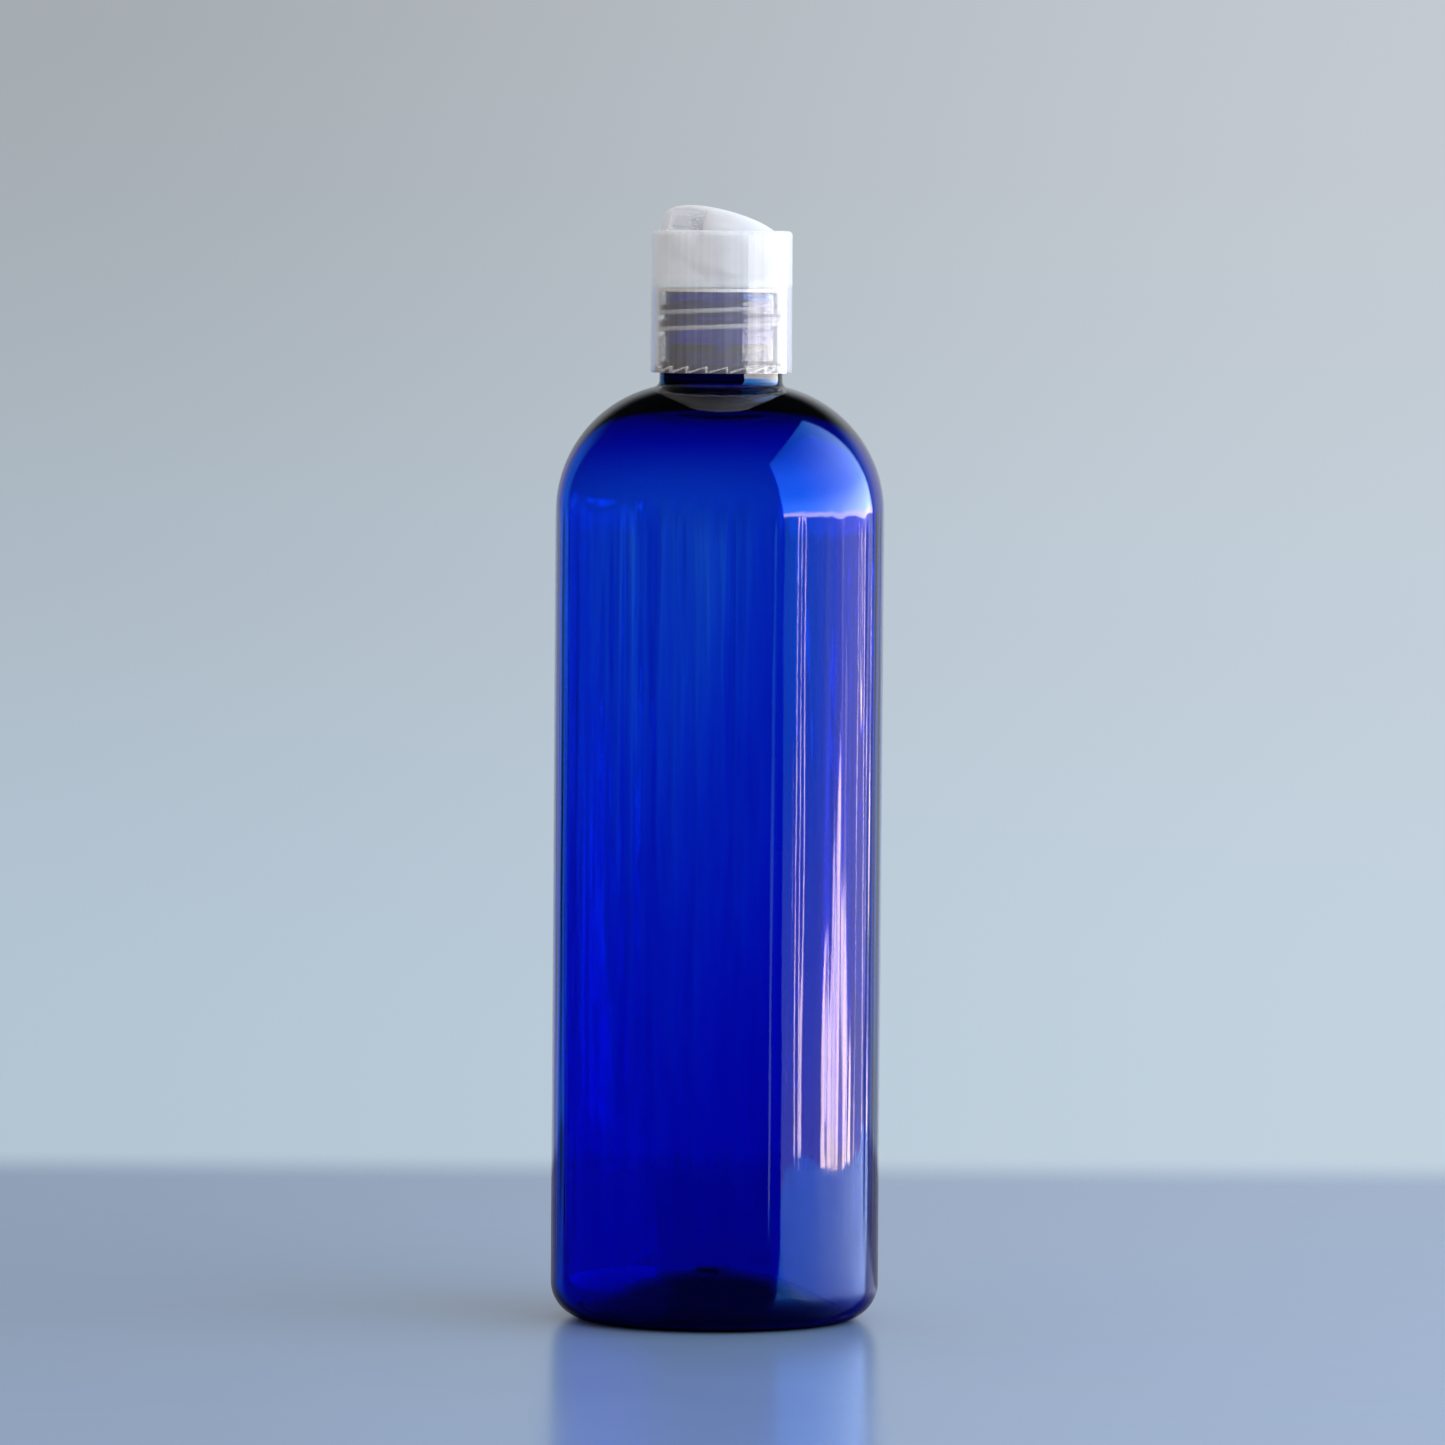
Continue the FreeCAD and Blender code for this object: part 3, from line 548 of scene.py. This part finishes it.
def ring_tree():
    """Geometry Nodes: sets copies of one shape evenly round Z."""
    tree = bpy.data.node_groups.new("ring_of_copies", "GeometryNodeTree")
    for name, kind in (("Shape", "NodeSocketGeometry"), ("Count", "NodeSocketInt"),
                       ("Material", "NodeSocketMaterial")):
        tree.interface.new_socket(name, in_out="INPUT", socket_type=kind)
    tree.interface.new_socket("Mesh", in_out="OUTPUT", socket_type="NodeSocketGeometry")
    given = tree.nodes.new("NodeGroupInput").outputs
    points = add(tree, "GeometryNodePoints", {"Count": given["Count"]})
    step = add(tree, "ShaderNodeMath", {0: 2.0 * math.pi, 1: given["Count"]}, operation="DIVIDE")
    turn = add(tree, "ShaderNodeMath",
               {0: add(tree, "GeometryNodeInputIndex").outputs[0], 1: step.outputs[0]},
               operation="MULTIPLY")
    angles = add(tree, "ShaderNodeCombineXYZ", {"Z": turn.outputs[0]})
    spin = add(tree, "FunctionNodeEulerToRotation", {"Euler": angles.outputs[0]})
    placed = add(tree, "GeometryNodeInstanceOnPoints",
                 {"Points": points.outputs[0], "Instance": given["Shape"], "Rotation": spin.outputs[0]})
    real = add(tree, "GeometryNodeRealizeInstances", {"Geometry": placed.outputs[0]})
    painted = add(tree, "GeometryNodeSetMaterial",
                  {"Geometry": real.outputs[0], "Material": given["Material"]})
    add(tree, "NodeGroupOutput", {"Mesh": painted.outputs[0]})
    return tree


def thread_tree():
    """Geometry Nodes: a tapered ridge that climbs round Z and runs out at both ends."""
    tree = bpy.data.node_groups.new("thread_ridge", "GeometryNodeTree")
    tree.interface.new_socket("Seed", in_out="INPUT", socket_type="NodeSocketGeometry")
    for name, kind in (("Steps", "NodeSocketInt"), ("Turns", "NodeSocketFloat"),
                       ("Pitch", "NodeSocketFloat"), ("Low End", "NodeSocketFloat"),
                       ("Start Angle", "NodeSocketFloat"), ("Foot Radius", "NodeSocketFloat"),
                       ("Crest Radius", "NodeSocketFloat"), ("Foot Width", "NodeSocketFloat"),
                       ("Crest Width", "NodeSocketFloat"), ("Run Out", "NodeSocketFloat"),
                       ("Material", "NodeSocketMaterial")):
        tree.interface.new_socket(name, in_out="INPUT", socket_type=kind)
    tree.interface.new_socket("Mesh", in_out="OUTPUT", socket_type="NodeSocketGeometry")
    given = tree.nodes.new("NodeGroupInput").outputs
    # Five rows go once round the section, the last on the first
    grid = add(tree, "GeometryNodeMeshGrid",
               {"Size X": 1.0, "Size Y": 4.0, "Vertices X": given["Steps"], "Vertices Y": 5})
    here = add(tree, "ShaderNodeSeparateXYZ",
               {0: add(tree, "GeometryNodeInputPosition").outputs[0]})
    share = add(tree, "ShaderNodeMath", {0: here.outputs["X"], 1: 0.5}, operation="ADD")
    row = add(tree, "ShaderNodeMath", {0: here.outputs["Y"], 1: 2.0}, operation="ADD")
    # Rows one and two are the crest, rows two and three the upper side
    from_crest = add(tree, "ShaderNodeMath", {0: row.outputs[0], 1: 1.5}, operation="SUBTRACT")
    crest_gap = add(tree, "ShaderNodeMath", {0: from_crest.outputs[0]}, operation="ABSOLUTE")
    is_crest = add(tree, "ShaderNodeMath", {0: crest_gap.outputs[0], 1: 1.0}, operation="LESS_THAN")
    from_upper = add(tree, "ShaderNodeMath", {0: row.outputs[0], 1: 2.5}, operation="SUBTRACT")
    upper_gap = add(tree, "ShaderNodeMath", {0: from_upper.outputs[0]}, operation="ABSOLUTE")
    is_upper = add(tree, "ShaderNodeMath", {0: upper_gap.outputs[0], 1: 1.0}, operation="LESS_THAN")
    side = add(tree, "ShaderNodeMath", {0: is_upper.outputs[0], 1: 0.5}, operation="SUBTRACT")
    # Full height but for a run-out at each end
    other = add(tree, "ShaderNodeMath", {0: 1.0, 1: share.outputs[0]}, operation="SUBTRACT")
    nearer = add(tree, "ShaderNodeMath", {0: share.outputs[0], 1: other.outputs[0]}, operation="MINIMUM")
    full = add(tree, "ShaderNodeMapRange",
               {"Value": nearer.outputs[0], "From Max": given["Run Out"]},
               interpolation_type="SMOOTHSTEP")
    width = add(tree, "ShaderNodeMix",
                {"Factor": is_crest.outputs[0], "A": given["Foot Width"], "B": given["Crest Width"]})
    half = add(tree, "ShaderNodeMath", {0: width.outputs["Result"], 1: side.outputs[0]},
               operation="MULTIPLY")
    offset = add(tree, "ShaderNodeMath", {0: half.outputs[0], 1: full.outputs[0]}, operation="MULTIPLY")
    rise = add(tree, "ShaderNodeMath", {0: given["Crest Radius"], 1: given["Foot Radius"]},
               operation="SUBTRACT")
    lifted = add(tree, "ShaderNodeMath", {0: rise.outputs[0], 1: is_crest.outputs[0]},
                 operation="MULTIPLY")
    shown = add(tree, "ShaderNodeMath", {0: lifted.outputs[0], 1: full.outputs[0]}, operation="MULTIPLY")
    radius = add(tree, "ShaderNodeMath", {0: given["Foot Radius"], 1: shown.outputs[0]}, operation="ADD")
    turn = add(tree, "ShaderNodeMath", {0: share.outputs[0], 1: given["Turns"]}, operation="MULTIPLY")
    wound = add(tree, "ShaderNodeMath", {0: turn.outputs[0], 1: 2.0 * math.pi}, operation="MULTIPLY")
    angle = add(tree, "ShaderNodeMath", {0: wound.outputs[0], 1: given["Start Angle"]}, operation="ADD")
    climb = add(tree, "ShaderNodeMath", {0: turn.outputs[0], 1: given["Pitch"]}, operation="MULTIPLY")
    middle = add(tree, "ShaderNodeMath", {0: climb.outputs[0], 1: given["Low End"]}, operation="ADD")
    height = add(tree, "ShaderNodeMath", {0: middle.outputs[0], 1: offset.outputs[0]}, operation="ADD")
    cosine = add(tree, "ShaderNodeMath", {0: angle.outputs[0]}, operation="COSINE")
    sine = add(tree, "ShaderNodeMath", {0: angle.outputs[0]}, operation="SINE")
    east = add(tree, "ShaderNodeMath", {0: cosine.outputs[0], 1: radius.outputs[0]}, operation="MULTIPLY")
    north = add(tree, "ShaderNodeMath", {0: sine.outputs[0], 1: radius.outputs[0]}, operation="MULTIPLY")
    place = add(tree, "ShaderNodeCombineXYZ",
                {"X": east.outputs[0], "Y": north.outputs[0], "Z": height.outputs[0]})
    moved = add(tree, "GeometryNodeSetPosition",
                {"Geometry": grid.outputs["Mesh"], "Position": place.outputs[0]})
    closed = add(tree, "GeometryNodeMergeByDistance",
                 {"Geometry": moved.outputs[0], "Distance": WELD * MM})
    smooth = add(tree, "GeometryNodeSetShadeSmooth", {"Geometry": closed.outputs[0]})
    real = add(tree, "GeometryNodeRealizeInstances", {"Geometry": smooth.outputs[0]})
    painted = add(tree, "GeometryNodeSetMaterial",
                  {"Geometry": real.outputs[0], "Material": given["Material"]})
    add(tree, "NodeGroupOutput", {"Mesh": painted.outputs[0]})
    return tree


def grown(name, tree, values, seed):
    """Runs a Geometry Nodes tree once on a seed mesh and keeps its result as a plain mesh object."""
    piece = bpy.data.objects.new(name, seed)
    bpy.context.scene.collection.objects.link(piece)
    modifier = piece.modifiers.new(name, "NODES")
    modifier.node_group = tree
    for item in tree.interface.items_tree:
        if item.in_out == "INPUT" and item.name in values:
            modifier[item.identifier] = values[item.name]
    graph = bpy.context.evaluated_depsgraph_get()
    mesh = bpy.data.meshes.new_from_object(piece.evaluated_get(graph), depsgraph=graph)
    piece.modifiers.remove(modifier)
    piece.data = mesh
    mesh.name = name
    return piece


def profile_mesh(name, points):
    """A profile's points as a bare mesh in metres: radius in X, sideways shift in Y, height in Z."""
    mesh = bpy.data.meshes.new(name)
    mesh.from_pydata([tuple(value * MM for value in point) for point in points], [], [])
    return mesh


def tooth_highlight_strip():
    """A painted highlight along one tooth's ramp and upright face: a thin pale strip just inside the
    plastic, at the front.
    """
    half = TOOTH_LENGTH / 2.0
    near = half + EDGE_INSET
    far = near + EDGE_WIDTH
    outline = ((-half, EDGE_INSET), (near, TOOTH_RISE + EDGE_INSET), (near, EDGE_INSET), (far, EDGE_INSET),
               (far, TOOTH_RISE + EDGE_INSET + EDGE_WIDTH), (-half, EDGE_INSET + EDGE_WIDTH))
    corners = []
    for reach in (SKIRT_BORE + EDGE_INSET, SKIRT_SKIN - EDGE_INSET):
        corners.extend((x * MM, -reach * MM, (SKIRT_EDGE + z) * MM) for x, z in outline)
    count = len(outline)
    # The strip bends, so each end is two four-sided faces
    faces = [(5, 4, 1, 0), (4, 3, 2, 1), (count, count + 1, count + 4, count + 5),
             (count + 1, count + 2, count + 3, count + 4)]
    for first in range(count):
        second = (first + 1) % count
        faces.append((first, second, count + second, count + first))
    mesh = bpy.data.meshes.new("tooth_highlight_strip")
    mesh.from_pydata(corners, [], faces)
    return mesh


pet = blown_pet()
pp = moulded_pp("moulded_natural_pp", SKIRT_MILK, RIM_MILK, FLOW_LINES)
pp_thick = moulded_pp("moulded_natural_pp_thick", DISC_MILK, DISC_MILK, 0.0)
# A milkier copy for the pale strips that paint highlights inside the skirt
pp_painted_highlight = moulded_pp("moulded_natural_pp_painted_highlight", HIGHLIGHT_MILK, HIGHLIGHT_MILK, 0.0)
foam = foam_pe()
board = painted_board()

points = bottle_profile()
bottle = grown("bottle_wall", turned_tree(), {
    "Rows": len(points), "Segments": BOTTLE_SEGMENTS, "Ripple Depth": RIPPLE_DEPTH * MM,
    "Ripple Scale": RIPPLE_SCALE, "Ripple Foot": RIPPLE_FOOT * MM, "Ripple Head": RIPPLE_HEAD * MM,
    "Thin Side": tuple(-TO_RIGHT), "Material": pet,
}, profile_mesh("bottle_profile", points))
bottle.data.set_sharp_from_angle(angle=SHARP_ANGLE)

threads = thread_tree()
thread = grown("neck_thread", threads, {
    "Steps": THREAD_STEPS, "Turns": THREAD_TURNS, "Pitch": THREAD_PITCH * MM,
    "Low End": THREAD_LOW_END * MM, "Start Angle": THREAD_START,
    "Foot Radius": (THREAD_ROOT - THREAD_SINK) * MM, "Crest Radius": THREAD_CREST * MM,
    "Foot Width": THREAD_FOOT_WIDTH * MM, "Crest Width": THREAD_CREST_WIDTH * MM,
    "Run Out": THREAD_RUN_OUT, "Material": pet,
}, bpy.data.meshes.new("thread_seed"))
thread.data.set_sharp_from_angle(angle=SHARP_ANGLE)

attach(bottle, "bottle")
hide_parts("bottle")
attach(thread, "bottle")

# Painted highlights where light gathers inside the skirt: pale strips along the upper side of its thread
# and the edges of its teeth
skirt_thread = grown("skirt_thread_highlight", threads, {
    "Steps": THREAD_STEPS, "Turns": THREAD_TURNS, "Pitch": THREAD_PITCH * MM,
    "Low End": (SKIRT_THREAD_LOW_END + LINE_RISE) * MM, "Start Angle": THREAD_START,
    "Foot Radius": (SKIRT_BORE + LINE_SINK) * MM, "Crest Radius": (SKIRT_BORE - LINE_DEPTH) * MM,
    "Foot Width": LINE_FOOT_WIDTH * MM, "Crest Width": LINE_CREST_WIDTH * MM,
    "Run Out": THREAD_RUN_OUT, "Material": pp_painted_highlight,
}, bpy.data.meshes.new("skirt_thread_seed"))
skirt_thread.data.flip_normals()
teeth = grown("skirt_tooth_highlights", ring_tree(), {"Count": TEETH, "Material": pp_painted_highlight}, tooth_highlight_strip())
for piece in (skirt_thread, teeth):
    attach(piece, "cap")

for node, material in (("cap_body", pp), ("disc", pp_thick), ("sealing_ring", foam)):
    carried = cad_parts[node]
    for slot in carried.material_slots:
        slot.material = material

# The table the bottle stands on, square to the camera
corners = []
for forward, side in ((-TABLE_BACK, -TABLE_SIDE), (TABLE_FRONT, -TABLE_SIDE),
                      (TABLE_FRONT, TABLE_SIDE), (-TABLE_BACK, TABLE_SIDE)):
    corner = TO_VIEWER * forward + TO_RIGHT * side
    corners.append((corner.x, corner.y, 0.0))
table_mesh = bpy.data.meshes.new("table_top")
table_mesh.from_pydata(corners, [], [(0, 1, 2, 3)])
table_mesh.materials.append(board)
table = bpy.data.objects.new("table_top", table_mesh)
bpy.context.scene.collection.objects.link(table)


def area_light(name, centre, aim, width, height, watts, code):
    """A rectangular lamp that faces a point."""
    lamp = bpy.data.lights.new(name, "AREA")
    lamp.shape = "RECTANGLE"
    lamp.size = width
    lamp.size_y = height
    lamp.energy = watts
    lamp.color = linear(code)[:3]
    holder = bpy.data.objects.new(name, lamp)
    holder.location = centre
    holder.rotation_euler = (aim - centre).to_track_quat("-Z", "Y").to_euler()
    bpy.context.scene.collection.objects.link(holder)
    return holder


# A soft lamp on the window's side; the window that gloss shows is in the world
key_centre = TO_RIGHT * KEY_RIGHT + TO_VIEWER * KEY_FORWARD + UP * KEY_UP
key = area_light("window_light", key_centre, UP * KEY_AIM_UP, KEY_WIDTH, KEY_TALL, KEY_WATTS, "#DCE9FF")
key.visible_glossy = False
key.visible_transmission = False

# The world: a pale backdrop to the eye, soft light from the window's side to matt surfaces
world = bpy.data.worlds.new("pale_room")
world.use_nodes = True
room = world.node_tree
room.nodes.clear()
rays = add(room, "ShaderNodeLightPath").outputs
toward = add(room, "ShaderNodeTexCoord").outputs["Generated"]
sideways = add(room, "ShaderNodeVectorMath",
               {0: toward, 1: tuple(TO_RIGHT)}, operation="DOT_PRODUCT").outputs["Value"]
facing = add(room, "ShaderNodeVectorMath",
             {0: toward, 1: tuple(TO_VIEWER)}, operation="DOT_PRODUCT").outputs["Value"]
tall = add(room, "ShaderNodeSeparateXYZ", {0: toward}).outputs["Z"]
around = add(room, "ShaderNodeMath", {0: sideways, 1: facing}, operation="ARCTAN2").outputs[0]

# The backdrop, paler low down and to the right
across = add(room, "ShaderNodeMapRange", {"Value": sideways, "From Min": -0.09, "From Max": 0.09},
             interpolation_type="SMOOTHSTEP").outputs["Result"]
upward = add(room, "ShaderNodeMapRange", {"Value": tall, "From Min": -0.09, "From Max": 0.03},
             interpolation_type="SMOOTHSTEP").outputs["Result"]
foot = add(room, "ShaderNodeMix", {"Factor": across, "A": linear("#B3C4D3"), "B": linear("#C3D3E0")},
           data_type="RGBA").outputs["Result"]
head = add(room, "ShaderNodeMix", {"Factor": across, "A": linear("#A4AAAF"), "B": linear("#C4CAD1")},
           data_type="RGBA").outputs["Result"]
backdrop = add(room, "ShaderNodeMix", {"Factor": upward, "A": foot, "B": head},
               data_type="RGBA").outputs["Result"]

# The fill that matt surfaces get, strongest from behind on the right
window_way = (TO_RIGHT * 0.8 - TO_VIEWER * 0.5 + UP * 0.33).normalized()
toward_window = add(room, "ShaderNodeVectorMath",
                    {0: toward, 1: tuple(window_way)}, operation="DOT_PRODUCT").outputs["Value"]
sunny = add(room, "ShaderNodeMapRange", {"Value": toward_window, "From Min": -0.5, "From Max": 0.6},
            interpolation_type="SMOOTHSTEP").outputs["Result"]
fill = add(room, "ShaderNodeMix", {"Factor": sunny, "A": linear("#B9B0A7"), "B": linear("#F6F9FF")},
           data_type="RGBA").outputs["Result"]

# What gloss and clear plastic show: the backdrop low down, straight behind in gloss, and a dim room
low_down = add(room, "ShaderNodeMapRange", {"Value": tall, "From Min": 0.55, "From Max": 0.25},
               interpolation_type="SMOOTHSTEP").outputs["Result"]
backward = add(room, "ShaderNodeMath", {0: sideways, 1: -0.1, 2: facing},
               operation="MULTIPLY_ADD").outputs[0]
behind = add(room, "ShaderNodeMapRange", {"Value": backward, "From Min": -0.74, "From Max": -0.9},
             interpolation_type="SMOOTHSTEP").outputs["Result"]
low_behind = add(room, "ShaderNodeMath", {0: low_down, 1: behind}, operation="MULTIPLY").outputs[0]
# Blue shade lies between the dim room and the backdrop on both sides
turned = add(room, "ShaderNodeMath", {0: around}, operation="ABSOLUTE").outputs[0]
shade = low_down
for start, end in ((133.0, 138.0), (154.0, 148.0)):
    edge = add(room, "ShaderNodeMapRange",
               {"Value": turned, "From Min": math.radians(start), "From Max": math.radians(end)},
               interpolation_type="SMOOTHSTEP")
    shade = add(room, "ShaderNodeMath", {0: shade, 1: edge.outputs["Result"]},
                operation="MULTIPLY").outputs[0]
dim = add(room, "ShaderNodeMix", {"Factor": shade, "A": linear("#14171B"), "B": linear("#3F8FE8")},
          data_type="RGBA").outputs["Result"]
mirrored = add(room, "ShaderNodeMix", {"Factor": low_behind, "A": dim, "B": backdrop},
               data_type="RGBA").outputs["Result"]
through = add(room, "ShaderNodeMix", {"Factor": low_down, "A": linear("#596068"), "B": backdrop},
              data_type="RGBA").outputs["Result"]

# The window's colours from its sill up, toward the viewer and away: dull ground, bright horizon, sky
panes = []
for stops in (((-0.13, "#544F5C"), (-0.055, "#133948"), (-0.024, "#133948"), (-0.018, "#BEBAB8"),
               (0.006, "#BEBAB8"), (0.03, "#3F7FC8"), (0.25, "#1E60AD"), (0.5, "#1E58A8"),
               (0.78, "#0A3A78")),
              ((-0.13, "#53555E"), (-0.024, "#53555E"), (-0.018, "#BEBAB8"), (0.006, "#BEBAB8"),
               (0.03, "#A0B8D8"), (0.25, "#6582AA"), (0.5, "#59739F"), (0.78, "#1A4A88"))):
    low, high = stops[0][0], stops[-1][0]
    rise = add(room, "ShaderNodeMapRange", {"Value": tall, "From Min": low, "From Max": high})
    ramp = add(room, "ShaderNodeValToRGB", {"Fac": rise.outputs["Result"]})
    elements = ramp.color_ramp.elements
    while len(elements) < len(stops):
        elements.new(0.5)
    for element, (height, code) in zip(elements, stops):
        element.position = (height - low) / (high - low)
        element.color = linear(code)
    panes.append(ramp.outputs["Color"])
away = add(room, "ShaderNodeMapRange",
           {"Value": around, "From Min": math.radians(55.0), "From Max": math.radians(125.0)},
           interpolation_type="SMOOTHSTEP").outputs["Result"]
pane = add(room, "ShaderNodeMix", {"Factor": away, "A": panes[0], "B": panes[1]},
           data_type="RGBA").outputs["Result"]

# Sun between upright slats: one gap that widens downward, and narrow ones beside it, in degrees
# round from the viewer; the slats' own noise repeats about every 4 degrees
lowness = add(room, "ShaderNodeMapRange",
              {"Value": tall, "From Min": -0.052, "From Max": -0.086,
               "To Min": math.radians(-1.0), "To Max": math.radians(14.0)}).outputs["Result"]
sun = None
for azimuth, reach in ((95.0, lowness), (59.4, math.radians(0.8)), (99.6, math.radians(1.0)),
                       (114.0, math.radians(0.3)), (128.0, math.radians(1.0))):
    swing = add(room, "ShaderNodeMath", {0: around, 1: math.radians(azimuth)}, operation="SUBTRACT")
    gap = add(room, "ShaderNodeMath", {0: swing.outputs[0]}, operation="ABSOLUTE")
    past = add(room, "ShaderNodeMath", {0: gap.outputs[0], 1: reach}, operation="SUBTRACT")
    lit = add(room, "ShaderNodeMapRange",
              {"Value": past.outputs[0], "From Min": math.radians(0.45), "From Max": math.radians(-0.45)},
              interpolation_type="SMOOTHSTEP").outputs["Result"]
    if sun is None:
        sun = lit
    else:
        sun = add(room, "ShaderNodeMath", {0: sun, 1: lit}, operation="MAXIMUM").outputs[0]
slats = add(room, "ShaderNodeTexNoise", {"W": around, "Scale": 13.0, "Detail": 3.0},
            noise_dimensions="1D")
opened = add(room, "ShaderNodeMapRange",
             {"Value": slats.outputs["Fac"], "From Min": 0.42, "From Max": 0.54, "To Min": 0.1},
             interpolation_type="SMOOTHSTEP").outputs["Result"]
below_band = add(room, "ShaderNodeMapRange", {"Value": tall, "From Min": -0.024, "From Max": -0.034},
                 interpolation_type="SMOOTHSTEP").outputs["Result"]
gleam = add(room, "ShaderNodeMath", {0: sun, 1: opened}, operation="MULTIPLY")
streak = add(room, "ShaderNodeMath", {0: gleam.outputs[0], 1: below_band},
             operation="MULTIPLY").outputs[0]
glazing = add(room, "ShaderNodeMix", {"Factor": streak, "A": pane, "B": linear("#FFE4DA")},
              data_type="RGBA").outputs["Result"]

# The window's outline: two upright sides, a level head and a sill
under_head = add(room, "ShaderNodeVectorMath",
                 {0: toward, 1: tuple(UP - TO_RIGHT * WINDOW_HEAD_RIGHT + TO_VIEWER * WINDOW_HEAD_FORWARD)},
                 operation="DOT_PRODUCT").outputs["Value"]
gloss = add(room, "ShaderNodeMath",
            {0: rays["Is Glossy Ray"], 1: rays["Is Reflection Ray"]}, operation="MULTIPLY").outputs[0]
# It also shows where light has been mirrored inside the wall, but not straight through the bottle
inner = add(room, "ShaderNodeMath", {0: rays["Glossy Depth"], 1: 0.5},
            operation="GREATER_THAN").outputs[0]
inside = add(room, "ShaderNodeMath", {0: rays["Is Transmission Ray"], 1: inner},
             operation="MULTIPLY").outputs[0]
window = add(room, "ShaderNodeMath", {0: gloss, 1: inside}, operation="MAXIMUM").outputs[0]
for value, (start, end) in ((around, WINDOW_NEAR_SIDE), (around, WINDOW_FAR_SIDE),
                            (under_head, WINDOW_HEAD), (tall, WINDOW_SILL)):
    edge = add(room, "ShaderNodeMapRange", {"Value": value, "From Min": start, "From Max": end},
               interpolation_type="SMOOTHSTEP")
    window = add(room, "ShaderNodeMath", {0: window, 1: edge.outputs["Result"]},
                 operation="MULTIPLY").outputs[0]

# Each kind of ray gets its own view; light that a matt surface has scattered stays the fill
scattered = add(room, "ShaderNodeMath", {0: rays["Diffuse Depth"], 1: 0.5},
                operation="GREATER_THAN").outputs[0]
view = add(room, "ShaderNodeBackground", {"Color": fill, "Strength": FILL_STRENGTH}).outputs[0]
straight_on = add(room, "ShaderNodeMath", {0: 1.0, 1: scattered}, operation="SUBTRACT").outputs[0]
for share, colour, strength in ((rays["Is Camera Ray"], backdrop, 1.0), (gloss, mirrored, 1.0),
                                (rays["Is Transmission Ray"], through, 1.0),
                                (window, glazing, WINDOW_STRENGTH)):
    seen = add(room, "ShaderNodeBackground", {"Color": colour, "Strength": strength})
    kept = add(room, "ShaderNodeMath", {0: share, 1: straight_on}, operation="MULTIPLY")
    view = add(room, "ShaderNodeMixShader", {0: kept.outputs[0], 1: view, 2: seen.outputs[0]}).outputs[0]
add(room, "ShaderNodeOutputWorld", {"Surface": view})
bpy.context.scene.world = world

# The camera
level = -TO_VIEWER * math.cos(VIEW_YAW) + TO_RIGHT * math.sin(VIEW_YAW)
ahead = level * math.cos(VIEW_PITCH) - UP * math.sin(VIEW_PITCH)
top = UP * math.cos(VIEW_PITCH) + level * math.sin(VIEW_PITCH)
right = ahead.cross(top)
cam_right = right * math.cos(VIEW_ROLL) + top * math.sin(VIEW_ROLL)
cam_up = top * math.cos(VIEW_ROLL) - right * math.sin(VIEW_ROLL)
lens = bpy.data.cameras.new("camera")
lens.sensor_width = SENSOR_MM
lens.lens = FOCAL_PIXELS / PICTURE_PIXELS * SENSOR_MM
lens.clip_end = 20.0
camera = bpy.data.objects.new("camera", lens)
seat = TO_VIEWER * VIEW_DISTANCE + UP * VIEW_HEIGHT
camera.matrix_world = Matrix((
    (cam_right.x, cam_up.x, -ahead.x, seat.x),
    (cam_right.y, cam_up.y, -ahead.y, seat.y),
    (cam_right.z, cam_up.z, -ahead.z, seat.z),
    (0.0, 0.0, 0.0, 1.0),
))
bpy.context.scene.collection.objects.link(camera)
bpy.context.scene.camera = camera
bpy.context.scene.view_settings.view_transform = "Standard"
